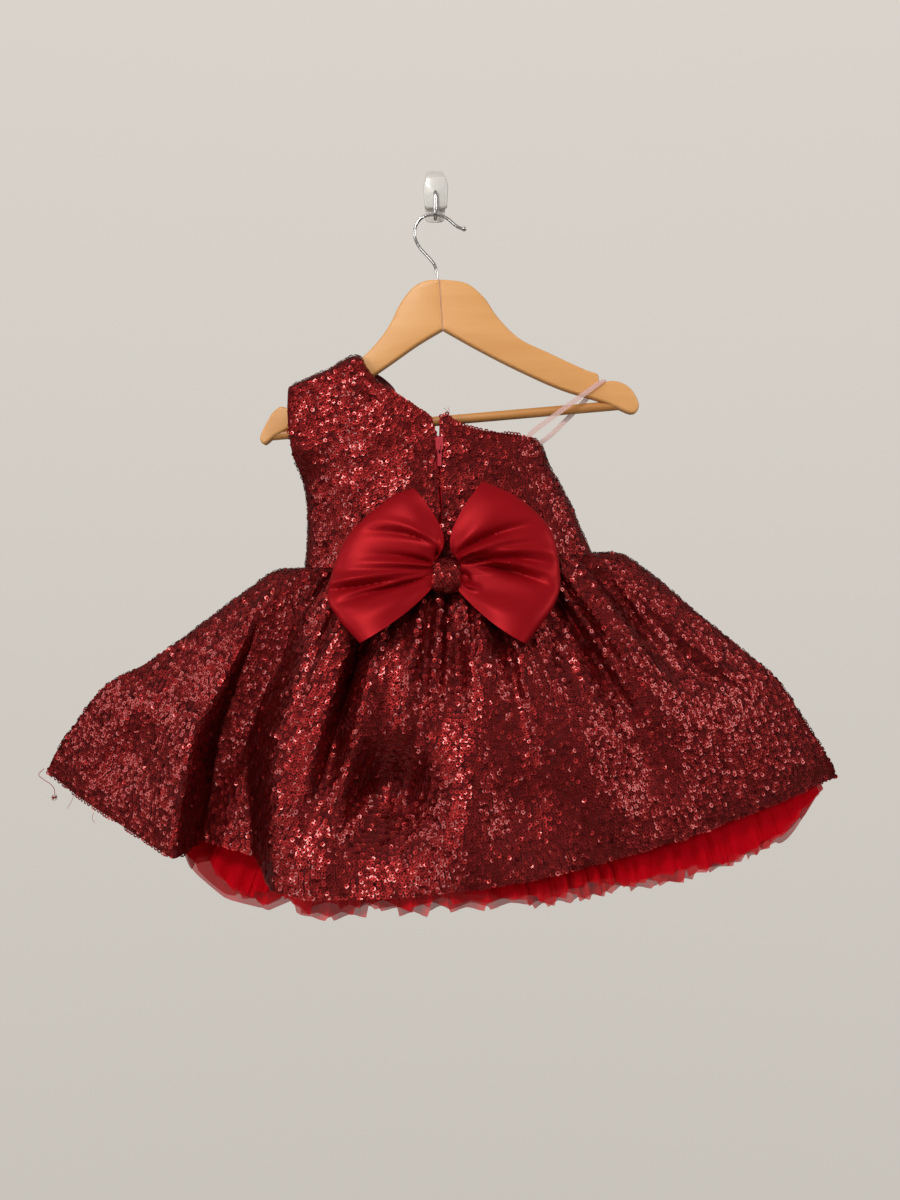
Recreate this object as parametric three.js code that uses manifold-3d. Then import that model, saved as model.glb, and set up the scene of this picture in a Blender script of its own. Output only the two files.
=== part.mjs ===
// Toddler's one-shoulder party dress in red sequins, on a wooden hanger and a small wall hook.
// Millimetres. X runs to the right as seen from the room, Y into the wall and Z up.
// The origin is on the wall, behind the body of the wall hook. The dress shows its back.
import * as THREE from 'three';
import { mergeVertices } from 'three/addons/utils/BufferGeometryUtils.js';
import Module from 'manifold-3d';

const { lerp, clamp, smoothstep } = THREE.MathUtils;
const wasm = await Module();
wasm.setup();

// Cloth and seams.
const seamGap = 0.3;
const bodiceWall = 1.6;
const skirtWall = 2;
const tulleWall = 1.2;
const satinWall = 1.2;

// Bodice. s runs from the left edge to the right edge, t from the waist up to the top edge.
const waistLeft = { x: -119, z: -358 };
const waistRight = { x: 144.6, z: -343.2 };
const seamY = { waist: -30, top: -16 };
const backDepth = { waist: 32, top: 27 };
const frontDepth = { waist: 26, top: 13 };
const shoulderInner = 0.19;
const underarm = 0.47;
const armholeOpen = 0.85;
const zipPlace = 0.4685;
const zipGap = 2.8;
const zipSpread = 5;
const zipSpreadFrom = 0.87;

const leftEdge = tableCurve([
  { s: 0, x: -119, z: -358 },
  { s: 0.12, x: -117, z: -338 },
  { s: 0.25, x: -116.5, z: -314 },
  { s: 0.36, x: -117.5, z: -294 },
  { s: 0.47, x: -120.5, z: -276 },
  { s: 0.6, x: -127.4, z: -255 },
  { s: 0.7, x: -130.8, z: -238 },
  { s: 0.84, x: -133.2, z: -215 },
  { s: 1, x: -133.1, z: -186.4 },
]);
const rightEdge = tableCurve([
  { s: 0, x: 144.6, z: -343.2 },
  { s: 0.27, x: 132.7, z: -315.6 },
  { s: 0.46, x: 125.9, z: -297.2 },
  { s: 0.66, x: 116.1, z: -277.9 },
  { s: 0.84, x: 106, z: -259.5 },
  { s: 1, x: 100.1, z: -243 },
]);
const backTopLeft = tableCurve([
  { s: 0, x: -133.1, z: -186.4 },
  { s: 0.06, x: -115.5, z: -178.1 },
  { s: 0.12, x: -97, z: -169.8 },
  { s: 0.19, x: -72.9, z: -158 },
  { s: 0.235, x: -61, z: -173.5 },
  { s: 0.27, x: -51.1, z: -186.1 },
  { s: 0.34, x: -33, z: -198.8 },
  { s: 0.41, x: -14.3, z: -209.3 },
  { s: 0.45, x: -3, z: -214.5 },
  { s: 0.4685, x: 3, z: -219.5 },
]);
const backTopRight = tableCurve([
  { s: 0.4685, x: 4.5, z: -217.5 },
  { s: 0.5, x: 11.5, z: -215.3 },
  { s: 0.53, x: 17, z: -221.5 },
  { s: 0.62, x: 34, z: -228 },
  { s: 0.73, x: 54.9, z: -231.4 },
  { s: 0.86, x: 78.1, z: -233.6 },
  { s: 0.94, x: 92, z: -236.8 },
  { s: 1, x: 100.1, z: -243 },
]);
const frontTop = tableCurve([
  { s: 0, x: -133.1, z: -186.4 },
  { s: 0.06, x: -115.5, z: -178.1 },
  { s: 0.12, x: -97, z: -169.8 },
  { s: 0.19, x: -72.9, z: -158 },
  { s: 0.225, x: -62.5, z: -168 },
  { s: 0.27, x: -48.5, z: -176.3 },
  { s: 0.31, x: -38.2, z: -185.6 },
  { s: 0.35, x: -31.7, z: -197.8 },
  { s: 0.46, x: 1, z: -229 },
  { s: 0.6, x: 38, z: -240 },
  { s: 0.8, x: 76, z: -242.5 },
  { s: 1, x: 100.1, z: -243 },
]);
const shoulderColumns = [0, 0.02, 0.06, 0.12, 0.16, 0.19];
const neckColumns = [0.21, 0.24, 0.27, 0.31, 0.36, 0.41, 0.45];
const rightColumns = [0.5, 0.53, 0.58, 0.66, 0.75, 0.84, 0.91, 0.96, 0.985, 1];
const bodiceRows = [0, 0.09, 0.2, 0.32, 0.42, 0.52, 0.62, 0.72, 0.8, 0.87, 0.92, 0.96, 0.985, 1];
const liningColumns = [0.24, 0.27, 0.31, 0.36, 0.41, 0.45, 0.4685, 0.5];
const liningRows = [0.87, 0.92, 0.96, 0.985];
const neckLining = { inset: 2, wall: 0.8 };

// Zip.
const zipX = 4.7;
const tape = { wide: 0.028, inset: 2.1, wall: 0.8, from: 0.04, to: 0.985 };
const slider = { place: 0.81, wide: 7, high: 14, deep: 2.4, clear: 0.4, corner: 2.4 };
const bridge = { wide: 1.2, bottom: -7, top: -1, reach: 2.6, bar: 1 };
const tab = { wide: 3.6, long: 16.5, thick: 1, eyeWide: 1.8, eyeLong: 4, drop: -5.2, out: 0.85 };

// Skirt. s runs from the left side seam to the right one, v from the waist down to the hem.
const puff = { side: 60, sideLift: 8, back: 16, front: 1 };
const hemBack = tableCurve([
  { s: 0, x: -358, y: -20, z: -542 },
  { s: 0.07, x: -310, y: -52, z: -567 },
  { s: 0.14, x: -258, y: -84, z: -590 },
  { s: 0.2, x: -212, y: -112, z: -608 },
  { s: 0.25, x: -178, y: -127, z: -617 },
  { s: 0.31, x: -136, y: -140, z: -624 },
  { s: 0.38, x: -90, y: -149, z: -628 },
  { s: 0.46, x: -30, y: -155, z: -626 },
  { s: 0.58, x: 56, y: -155, z: -615 },
  { s: 0.68, x: 125, y: -140, z: -604 },
  { s: 0.75, x: 165, y: -127, z: -596 },
  { s: 0.83, x: 225, y: -104, z: -584 },
  { s: 0.9, x: 280, y: -75, z: -570 },
  { s: 0.95, x: 325, y: -50, z: -558 },
  { s: 1, x: 371, y: -20, z: -547 },
]);
const hemFront = tableCurve([
  { s: 0, x: -358, y: -20, z: -542 },
  { s: 0.06, x: -315, y: -8, z: -570 },
  { s: 0.25, x: -180, y: -6, z: -620 },
  { s: 0.5, x: 5, y: -6, z: -636 },
  { s: 0.75, x: 190, y: -6, z: -612 },
  { s: 0.94, x: 324, y: -8, z: -566 },
  { s: 1, x: 371, y: -20, z: -547 },
]);
// Where the path to the hem bends, measured from a point 72 % of the way from waist to hem.
const bend = { share: 0.72, leftUp: 52, rightUp: 56, backUp: 10, backOut: 8 };
// Folds of the skirt's back: place at the waist and at the hem, half width, depth and extent.
// skew below 1 makes the left side of a fold the steeper one.
const folds = [
  { top: 0.03, hem: 0.235, wide: 0.068, deep: 62, from: 0, full: 0.95, to: 1.4, skew: 0.75 },
  { top: 0.31, hem: 0.345, wide: 0.034, deep: 22, from: 0.05, full: 0.5, to: 1, skew: 0.8 },
  { top: 0.22, hem: 0.275, wide: 0.018, deep: 8, from: 0.05, full: 0.3, to: 0.65, skew: 1 },
  { top: 0.42, hem: 0.42, wide: 0.06, deep: 10, from: 0.3, full: 0.7, to: 1.2, skew: 1 },
  { top: 0.45, hem: 0.475, wide: 0.024, deep: 11, from: 0.08, full: 0.4, to: 0.9, skew: 1 },
  { top: 0.61, hem: 0.64, wide: 0.026, deep: 13, from: 0.06, full: 0.35, to: 0.8, skew: 1.2 },
  { top: 0.72, hem: 0.83, wide: 0.03, deep: 15, from: 0.05, full: 0.4, to: 0.9, skew: 1.2 },
  { top: 0.88, hem: 0.9, wide: 0.024, deep: 12, from: 0.03, full: 0.3, to: 0.8, skew: 1 },
];
const gathers = { count: 21, deep: 1.7, from: 0.02, full: 0.12, to: 0.55 };
const skirtColumns = { back: 78, front: 42 };
const skirtRows = { back: 9, front: 7 };
const skirtRoom = 25;
const tulleRoom = 5;

// Tulle petticoat under the skirt.
const tulle = { waistInset: 2.6, drop: 2.7, inset: 12, droop: 22, ruffle: 2.4, widen: 0.036 };
// How far the net hangs below the hem, from the left side seam to the right one.
const tulleBelow = [3, 4, 5, 18, 34, 34, 18, 10, 9, 12, 18, 19, 23, 25, 27, 31, 34, 31, 12];
const tulleWaves = { back: 28, front: 16 };
const tulleColumns = { back: 84, front: 48 };
const tulleRows = 4;

// Bow, centred on its knot.
const knot = { x: 10.7, y: -83, z: -362.3, wide: 21.6, high: 31, deep: 17, tilt: -0.46, corner: 7 };
const bowLean = { above: 0.2, below: 0.5 };
const loopDepth = { knot: 2.6, grow: 9.6, ridges: 3, ridge: 2.4 };
const loopLeft = {
  inner: [{ x: -0.5, z: -372 }, { x: -0.8, z: -348 }],
  top: { x: 8, z: -326 },
  bottom: { x: -27, z: -397 },
  outer: tableCurve([
    { s: 0, x: -62.7, z: -420.2 },
    { s: 0.16, x: -82, z: -399 },
    { s: 0.32, x: -91.7, z: -376.7 },
    { s: 0.6, x: -77.6, z: -330.3 },
    { s: 0.84, x: -41.6, z: -295.1 },
    { s: 1, x: -18.2, z: -284.2 },
  ]),
};
const loopRight = {
  inner: [{ x: 21.9, z: -376 }, { x: 22.2, z: -348 }],
  top: { x: 15.5, z: -324 },
  bottom: { x: 49, z: -402 },
  outer: tableCurve([
    { s: 0, x: 79, z: -420.8 },
    { s: 0.2, x: 104, z: -388 },
    { s: 0.38, x: 110.2, z: -362.1 },
    { s: 0.62, x: 102.8, z: -322.2 },
    { s: 0.82, x: 75, z: -293.4 },
    { s: 1, x: 43.4, z: -278 },
  ]),
};

// Clear elastic strap, with the turn of its width about Y in degrees.
const strap = { wide: 6, wall: 0.8, steps: 34 };
const strapPath = tableCurve([
  { s: 0, x: 82, y: -30.6, z: -243, turn: 53 },
  { s: 0.06, x: 88, y: -30.6, z: -231.5, turn: 45 },
  { s: 0.16, x: 106, y: -29.5, z: -217.5, turn: 53 },
  { s: 0.28, x: 130, y: -26, z: -199.5, turn: 53 },
  { s: 0.4, x: 149, y: -23.4, z: -185.5, turn: 40 },
  { s: 0.45, x: 155, y: -22.2, z: -181.4, turn: 12 },
  { s: 0.48, x: 156.6, y: -19.4, z: -179.8, turn: 2 },
  { s: 0.52, x: 156.7, y: -14.6, z: -179.8, turn: 2 },
  { s: 0.56, x: 156.6, y: -10, z: -179.8, turn: 2 },
  { s: 0.6, x: 154.5, y: -7.3, z: -182.2, turn: 14 },
  { s: 0.68, x: 146, y: -6.4, z: -191, turn: 45 },
  { s: 0.8, x: 127, y: -6.6, z: -211, turn: 47 },
  { s: 0.9, x: 109, y: -10.4, z: -229, turn: 45 },
  { s: 0.96, x: 98, y: -14.2, z: -238, turn: 45 },
  { s: 1, x: 92, y: -14.2, z: -245, turn: 45 },
]);

// Hanger: outlines of the two arms as seen from the room, meeting at the centre seam.
const arm = { thick: 12, ridgeY: -20, tipY: -14, reach: 165, bevel: 2.4, seamTop: 4.5, seamLow: 7.5 };
const armLeft = [
  [4.5, -88.5], [-8, -89.4], [-19.1, -94.9], [-31.4, -109.7], [-41.2, -129], [-51.4, -143.8],
  [-70.8, -162.8], [-124.2, -194.8], [-130.7, -200.1], [-135.3, -205.6], [-142.7, -204.7],
  [-150.1, -210.2], [-154.9, -218.2], [-161.8, -233.3], [-160.2, -238.2], [-157.4, -239.7],
  [-147.3, -231.9], [-133.5, -224], [-56, -176.1], [-13.6, -147], [7.5, -134.6],
];
const armRight = [
  [4.5, -88.5], [18.7, -89.4], [30.4, -92.2], [45.5, -104.6], [57.4, -121.7], [77.4, -141.7],
  [104.5, -154.9], [141.4, -171.5], [151, -175], [152.8, -181.6], [166.3, -180.7],
  [177.9, -184.9], [185.4, -193.3], [189.2, -203.8], [186.6, -209.7], [182, -211.1],
  [159.8, -201.9], [116.9, -188.6], [79.6, -172.4], [42.7, -154], [7.5, -134.6],
];
const bar = { left: [-152.5, -14, -231.1], right: [172.5, -14, -202.6], radius: 4.5, hole: 4.8, sides: 16 };
const wire = { radius: 1.4, y: -18, ball: 2.2 };
const wirePath = [
  [2, -88], [1.5, -79.5], [-0.2, -73.5], [-3.5, -68.9], [-8.7, -63.3], [-13.9, -57.4],
  [-17.9, -49.5], [-18.6, -42.1], [-16.6, -35.3], [-12.2, -30], [-6, -27.5], [1, -27.3],
  [7.3, -28.2], [13.5, -31.9], [18.7, -36.5], [23.4, -39.3], [27.1, -40.2],
];

// Wall hook.
const plate = { wide: 18.8, top: 19.1, low: -28.8, thick: 1.5, corner: 5 };
const cover = { from: -1.8, deep: 6.4, bevel: 1.4 };
const coverOutline = [
  [-9.3, 12.7], [10.3, 12.7], [12.3, 4], [11.3, -15.5], [9, -17.3], [-7.6, -17.3], [-9.6, -15.5], [-11.2, 4],
];
const hookWire = { radius: 1.7, x: 0.5 };
const hookWirePath = [
  [-8.9, -3], [-11.2, -3.6], [-12.7, -6.6], [-13, -11], [-13, -24], [-14.4, -28.6], [-18, -30.7],
  [-21.6, -28.6], [-23, -24], [-23, -15.3],
];

// Colours, roughness and metalness.
const sequins = material(0x6e1118, 0.42, 0.35);
const satin = material(0xa80f1c, 0.45, 0);
const lining = material(0x6b0d16, 0.6, 0);
const net = material(0xc4061c, 0.85, 0);
const clear = material(0xe9c9c9, 0.3, 0);
const pink = material(0xc9707c, 0.25, 0);
const wood = material(0xe8b678, 0.5, 0);
const barWood = material(0xcb9451, 0.5, 0);
const chrome = material(0xb9b9bb, 0.2, 1);
const white = material(0xf1f0ee, 0.35, 0);

function material(color, roughness, metalness) {
  return new THREE.MeshStandardMaterial({ color, roughness, metalness });
}

// A smooth curve through the rows of a table, read at the table's own s values.
function tableCurve(rows) {
  const points = rows.map((row) => new THREE.Vector3(row.x, row.y ?? 0, row.z));
  const curve = new THREE.CatmullRomCurve3(points, false, 'catmullrom', 0.5);
  const last = rows.length - 1;
  const read = (s) => {
    let i = 0;
    while (i < last - 1 && s > rows[i + 1].s) i += 1;
    const part = clamp((s - rows[i].s) / (rows[i + 1].s - rows[i].s), 0, 1);
    const point = curve.getPoint((i + part) / last);
    point.turn = lerp(rows[i].turn ?? 0, rows[i + 1].turn ?? 0, part);
    return point;
  };
  return read;
}

// Reads a list of values at a place from 0 to 1.
function readList(list, place) {
  const at = place * (list.length - 1);
  const i = Math.min(Math.floor(at + 1e-9), list.length - 2);
  return lerp(list[i], list[i + 1], at - i);
}

// A closed solid from triangles, turned so that its faces point out.
function closedGeometry(positions, index) {
  let volume = 0;
  const corner = (k) => new THREE.Vector3().fromArray(positions, 3 * index[k]);
  for (let k = 0; k < index.length; k += 3) {
    volume += corner(k).dot(corner(k + 1).cross(corner(k + 2)));
  }
  if (volume < 0) index.reverse();
  const geometry = new THREE.BufferGeometry();
  geometry.setAttribute('position', new THREE.Float32BufferAttribute(positions, 3));
  geometry.setIndex(index);
  geometry.computeVertexNormals();
  return geometry;
}

// Cloth with a wall: pointAt(a, b) gives its outer face and the wall goes to the inner side.
// side is 1 or -1, whichever makes the outer face's normal point out. On seams the normal is
// level with the wall, so that the two pieces meet edge to edge. inset sinks the outer face.
function cloth(pointAt, columns, rows, wall, side, onSeam = () => false, inset = 0) {
  const face = [];
  for (let i = 0; i <= columns; i += 1) {
    for (let j = 0; j <= rows; j += 1) face.push(pointAt(i / columns, j / rows));
  }
  const at = (i, j) => face[clamp(i, 0, columns) * (rows + 1) + clamp(j, 0, rows)];
  const outer = [];
  const inner = [];
  for (let i = 0; i <= columns; i += 1) {
    for (let j = 0; j <= rows; j += 1) {
      const along = at(i + 1, j).clone().sub(at(i - 1, j));
      const up = at(i, j + 1).clone().sub(at(i, j - 1));
      const normal = along.cross(up).multiplyScalar(side);
      if (onSeam(i / columns, j / rows)) normal.y = 0;
      normal.normalize();
      outer.push(at(i, j).clone().addScaledVector(normal, -inset));
      inner.push(at(i, j).clone().addScaledVector(normal, -inset - wall));
    }
  }
  const positions = [...outer, ...inner].flatMap((point) => point.toArray());
  const out = (i, j) => i * (rows + 1) + j;
  const back = (i, j) => outer.length + out(i, j);
  const index = [];
  const quad = (a, b, c, d) => index.push(a, b, c, a, c, d);
  for (let i = 0; i < columns; i += 1) {
    for (let j = 0; j < rows; j += 1) {
      quad(out(i, j), out(i + 1, j), out(i + 1, j + 1), out(i, j + 1));
      quad(back(i, j + 1), back(i + 1, j + 1), back(i + 1, j), back(i, j));
    }
    quad(back(i, 0), back(i + 1, 0), out(i + 1, 0), out(i, 0));
    quad(out(i, rows), out(i + 1, rows), back(i + 1, rows), back(i, rows));
  }
  for (let j = 0; j < rows; j += 1) {
    quad(out(0, j), out(0, j + 1), back(0, j + 1), back(0, j));
    quad(out(columns, j + 1), out(columns, j), back(columns, j), back(columns, j + 1));
  }
  return closedGeometry(positions, index);
}

// Merged, position-only copy of a geometry, as joining and cutting need it.
function solidOf(geometry) {
  const plain = geometry.clone();
  for (const name of Object.keys(plain.attributes)) {
    if (name !== 'position') plain.deleteAttribute(name);
  }
  const merged = mergeVertices(plain, 1e-4);
  const vertProperties = new Float32Array(merged.attributes.position.array);
  const triVerts = new Uint32Array(merged.index.array);
  return new wasm.Manifold(new wasm.Mesh({ numProp: 3, vertProperties, triVerts }));
}

function geometryOf(solid) {
  const mesh = solid.getMesh();
  const positions = Array.from(mesh.vertProperties);
  return closedGeometry(positions, Array.from(mesh.triVerts));
}

// An outline in the plane of the wall, given a thickness in Y from its back face towards the room.
function slab(points, back, thick, bevel, holes = []) {
  const shape = new THREE.Shape(points.map(([x, z]) => new THREE.Vector2(x, z)));
  holes.forEach((hole) => shape.holes.push(new THREE.Path(hole.map(([x, z]) => new THREE.Vector2(x, z)))));
  const geometry = new THREE.ExtrudeGeometry(shape, {
    depth: thick - 2 * bevel,
    bevelEnabled: bevel > 0,
    bevelThickness: bevel,
    bevelSize: bevel,
    bevelOffset: -bevel,
    bevelSegments: 2,
    steps: 1,
  });
  geometry.rotateX(Math.PI / 2);
  geometry.translate(0, back - bevel, 0);
  return geometry;
}

function roundedRectangle(wide, low, high, corner, steps = 4) {
  const points = [];
  const centres = [[wide / 2 - corner, high - corner], [corner - wide / 2, high - corner],
    [corner - wide / 2, low + corner], [wide / 2 - corner, low + corner]];
  centres.forEach(([x, z], quarter) => {
    for (let k = 0; k <= steps; k += 1) {
      const angle = (quarter + k / steps) * Math.PI / 2;
      points.push([x + corner * Math.cos(angle), z + corner * Math.sin(angle)]);
    }
  });
  return points;
}

// A round wire along points.
function wireGeometry(points, radius, steps, sides = 8) {
  const circle = new THREE.Shape();
  circle.absarc(0, 0, radius, 0, 2 * Math.PI);
  const curve = new THREE.CatmullRomCurve3(points.map((point) => new THREE.Vector3(...point)));
  return new THREE.ExtrudeGeometry(circle, { extrudePath: curve, steps, curveSegments: sides / 2 });
}

// Point of the bodice in the plane of the wall, between its waist, top and two side edges.
function bodicePlane(top, s, t) {
  const point = new THREE.Vector3(lerp(waistLeft.x, waistRight.x, s), 0, lerp(waistLeft.z, waistRight.z, s));
  point.lerp(top(s), t);
  const away = (edge, share) => {
    const straight = edge(0).lerp(edge(1), t);
    point.addScaledVector(edge(t).sub(straight), share);
  };
  away(leftEdge, (1 - s) ** 3);
  away(rightEdge, s ** 3);
  return point;
}

// How far the bodice stands from its side seam, as a share of its full depth.
function bodiceRound(s, t) {
  const sides = Math.sqrt(Math.max(0, 1 - Math.abs(2 * s - 1) ** 2.6));
  const open = armholeOpen * smoothstep(t, underarm, underarm + 0.16) * clamp(1 - s / 0.14, 0, 1);
  const over = Math.sqrt(Math.max(0, 1 - clamp((t - 0.93) / 0.07, 0, 1) ** 3));
  // Past the shoulder the neckline's edge wraps down round the hanger's arm.
  const wrapped = 0.7 * smoothstep(s, shoulderInner, 0.21) + 0.3 * smoothstep(s, shoulderInner, 0.34);
  return (open + (1 - open) * sides) * lerp(over, 1, wrapped);
}

function backPoint(top, s, t) {
  const point = bodicePlane(top, s, t);
  const depth = lerp(backDepth.waist, backDepth.top, t) * bodiceRound(s, t);
  point.y = lerp(seamY.waist, seamY.top, t) - depth - seamGap / 2;
  return point;
}

function frontPoint(s, t) {
  const point = bodicePlane(frontTop, s, t);
  const depth = lerp(frontDepth.waist, frontDepth.top, t) * bodiceRound(s, t);
  point.y = lerp(seamY.waist, seamY.top, t) + depth + seamGap / 2;
  return point;
}

// The left back panel's edge swings away from the zip above the slider.
function leftBackPoint(s, t) {
  const point = backPoint(backTopLeft, s, t);
  const near = smoothstep(s, zipPlace - 0.12, zipPlace);
  point.x -= near * (zipGap / 2 + zipSpread * smoothstep(t, zipSpreadFrom, 1));
  return point;
}

function rightBackPoint(s, t) {
  const point = backPoint(backTopRight, s, t);
  point.x += (1 - smoothstep(s, zipPlace, zipPlace + 0.06)) * zipGap / 2;
  return point;
}

const sideSeamLeft = (a, b) => a === 0 && readList(bodiceRows, b) <= underarm;
const sideSeamRight = (a) => a === 1;

function bodiceBackLeft() {
  const columns = [...shoulderColumns, ...neckColumns, zipPlace];
  const onShoulder = (a, b) => b === 1 && readList(columns, a) <= shoulderInner;
  return cloth((a, b) => leftBackPoint(readList(columns, a), readList(bodiceRows, b)),
    columns.length - 1, bodiceRows.length - 1, bodiceWall, 1,
    (a, b) => sideSeamLeft(a, b) || onShoulder(a, b));
}

function bodiceBackRight() {
  const columns = [zipPlace, ...rightColumns];
  const rows = bodiceRows.filter((t, i) => i % 2 === 1 || t < 0.9);
  return cloth((a, b) => rightBackPoint(readList(columns, a), readList(rows, b)),
    columns.length - 1, rows.length - 1, bodiceWall, 1, sideSeamRight);
}

function bodiceFront() {
  const columns = [...shoulderColumns, ...neckColumns, zipPlace, ...rightColumns];
  const onShoulder = (a, b) => b === 1 && readList(columns, a) <= shoulderInner;
  return cloth((a, b) => frontPoint(readList(columns, a), readList(bodiceRows, b)),
    columns.length - 1, bodiceRows.length - 1, bodiceWall, -1,
    (a, b) => sideSeamLeft(a, b) || sideSeamRight(a) || onShoulder(a, b));
}

// The smooth band inside the front neckline lies against the front's inner face.
function neckLiningBand() {
  return cloth((a, b) => frontPoint(readList(liningColumns, a), readList(liningRows, b)),
    liningColumns.length - 1, liningRows.length - 1, neckLining.wall, -1, undefined, neckLining.inset);
}

// One side of the zip tape, behind the back panel's edge.
function zipTape(pointAt, sign) {
  return cloth((a, b) => {
    const t = lerp(tape.from, tape.to, b);
    const s = zipPlace + sign * tape.wide * (1 - a);
    const point = pointAt(s, t);
    point.x -= sign * (zipGap / 2 - seamGap / 2) * smoothstep(a, 0, 1);
    return point;
  }, 3, 9, tape.wall, -sign, undefined, tape.inset);
}

// Slope of the back along the zip, as a turn about X.
function zipFrame() {
  const place = backPoint(backTopRight, zipPlace, slider.place);
  const above = backPoint(backTopRight, zipPlace, slider.place + 0.05);
  const frame = new THREE.Group();
  frame.position.set(zipX, place.y, place.z);
  frame.rotation.x = -Math.atan2(above.y - place.y, above.z - place.z);
  return frame;
}

function zipSlider() {
  const outline = roundedRectangle(slider.wide, -slider.high / 2, slider.high / 2, slider.corner, 3);
  const body = slab(outline, -slider.clear, slider.deep, 0.5);
  const face = -slider.clear - slider.deep;
  const { top, bottom, reach, bar: thick } = bridge;
  const side = new THREE.Shape();
  side.moveTo(0.6, bottom);
  side.lineTo(-reach, bottom);
  side.lineTo(-reach, top);
  side.lineTo(0.6, top);
  side.lineTo(0.6, top - thick);
  side.lineTo(thick - reach, top - thick);
  side.lineTo(thick - reach, bottom + thick);
  side.lineTo(0.6, bottom + thick);
  const arch = new THREE.ExtrudeGeometry(side, { depth: bridge.wide, bevelEnabled: false });
  arch.translate(0, 0, -bridge.wide / 2);
  // The side view is drawn in Y and Z, so its own X becomes Y and its own Y becomes Z.
  arch.applyMatrix4(new THREE.Matrix4().makeBasis(
    new THREE.Vector3(0, 1, 0), new THREE.Vector3(0, 0, 1), new THREE.Vector3(1, 0, 0)));
  arch.translate(0, face, 0);
  return geometryOf(solidOf(body).add(solidOf(arch)));
}

function pullTab() {
  const { wide, long, thick, eyeWide, eyeLong } = tab;
  const outline = roundedRectangle(wide, -long + 0.5, 0.5, 0.45, 2);
  const eye = [[-eyeWide / 2, -0.5], [-eyeWide / 2, -0.5 - eyeLong], [eyeWide / 2, -0.5 - eyeLong], [eyeWide / 2, -0.5]];
  return slab(outline, thick / 2, thick, 0, [eye]);
}

// Fine vertical gathers below the waist seam, uneven as hand-drawn threads leave them.
function gatherAt(s, v) {
  const fade = smoothstep(v, gathers.from, gathers.full) * (1 - smoothstep(v, gathers.full, gathers.to));
  const place = 2 * Math.PI * gathers.count * s;
  return gathers.deep * fade * (Math.sin(place) + 0.5 * Math.sin(0.62 * place + 1.3)) * Math.sin(Math.PI * s) ** 0.3;
}

// Depth of the folds of the skirt's back at a place, towards the wall.
function foldAt(s, v, widen = 0) {
  let depth = 0;
  for (const fold of folds) {
    const away = s - lerp(fold.top, fold.hem, v ** 0.75);
    const half = (fold.wide + widen) * (away < 0 ? fold.skew : 2 - fold.skew);
    const across = Math.abs(away) < half ? 0.5 + 0.5 * Math.cos(Math.PI * away / half) : 0;
    const along = smoothstep(v, fold.from, fold.full) * (1 - smoothstep(v, fold.full, fold.to));
    depth += fold.deep * across * along;
  }
  return depth * smoothstep(s, 0, 0.08) * smoothstep(1 - s, 0, 0.06);
}

// Point of the skirt: a bent path from the waist to the hem. inset moves it in for the tulle.
function skirtPoint(isBack, s, v, layer) {
  const sides = Math.sqrt(Math.max(0, 1 - Math.abs(2 * s - 1) ** 2.6));
  const out = 2 * s - 1;
  const middle = Math.sin(Math.PI * s);
  const depth = isBack ? -(backDepth.waist - layer.waist) : frontDepth.waist - layer.waist;
  const waist = new THREE.Vector3(
    lerp(waistLeft.x + layer.waist, waistRight.x - layer.waist, s),
    seamY.waist + depth * sides,
    lerp(waistLeft.z, waistRight.z, s) - seamGap - layer.drop,
  );
  const hem = (isBack ? hemBack : hemFront)(s);
  hem.x -= out * layer.inset;
  hem.y += (isBack ? 1 : -1) * layer.inset * middle ** 0.5;
  hem.z -= readList(layer.below, s);
  const reach = Math.sign(out) * Math.abs(out) ** 1.5;
  const first = waist.clone();
  first.x += reach * (puff.side - layer.inset);
  first.y += (isBack ? -(puff.back - 0.5 * layer.inset) : puff.front - 0.5 * layer.inset) * middle;
  first.z += puff.sideLift * Math.abs(reach) - layer.droop;
  const second = waist.clone().lerp(hem, bend.share);
  second.z += lerp(bend.backUp, out < 0 ? bend.leftUp : bend.rightUp, Math.abs(reach)) - 0.4 * layer.droop;
  second.y -= isBack ? bend.backOut * middle : 0;
  const curve = new THREE.CubicBezierCurve3(waist, first, second, hem);
  return curve.getPoint(v);
}

const outerLayer = { waist: 0, drop: 0, inset: 0, droop: 0, below: [0, 0] };
const tulleLayer = { ...tulle, waist: tulle.waistInset, below: tulleBelow };

// Keeps a folded point on its own side of the side seams, with room for the layers under it.
function keepSide(point, plainY, isBack, a, seamLine, room) {
  if (a === 0 || a === 1) point.y = seamLine + (isBack ? -seamGap : seamGap) / 2;
  else if (isBack) point.y = Math.min(point.y, Math.max(plainY, seamLine - room), seamLine - 1.8);
  else point.y = Math.max(point.y, seamLine + 1.8);
  return point;
}

function sideSpacing(a) {
  return lerp(a, 0.5 - 0.5 * Math.cos(Math.PI * a), 0.55);
}

function skirtBackPoint(a, b) {
  const s = sideSpacing(a);
  const point = skirtPoint(true, s, b, outerLayer);
  const plainY = point.y;
  const fold = foldAt(s, b);
  point.y += fold - gatherAt(s, b);
  point.z += 0.22 * fold;
  return keepSide(point, plainY, true, a, skirtPoint(true, 0, b, outerLayer).y, skirtRoom);
}

function skirtFrontPoint(a, b) {
  const s = sideSpacing(a);
  const point = skirtPoint(false, s, b, outerLayer);
  const plainY = point.y;
  const wave = smoothstep(b, 0.1, 0.8) * Math.sin(Math.PI * s) ** 0.5;
  point.y -= wave * (1.6 + 1.6 * Math.cos(2 * Math.PI * 11 * s));
  return keepSide(point, plainY, false, a, skirtPoint(false, 0, b, outerLayer).y, skirtRoom);
}

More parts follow.
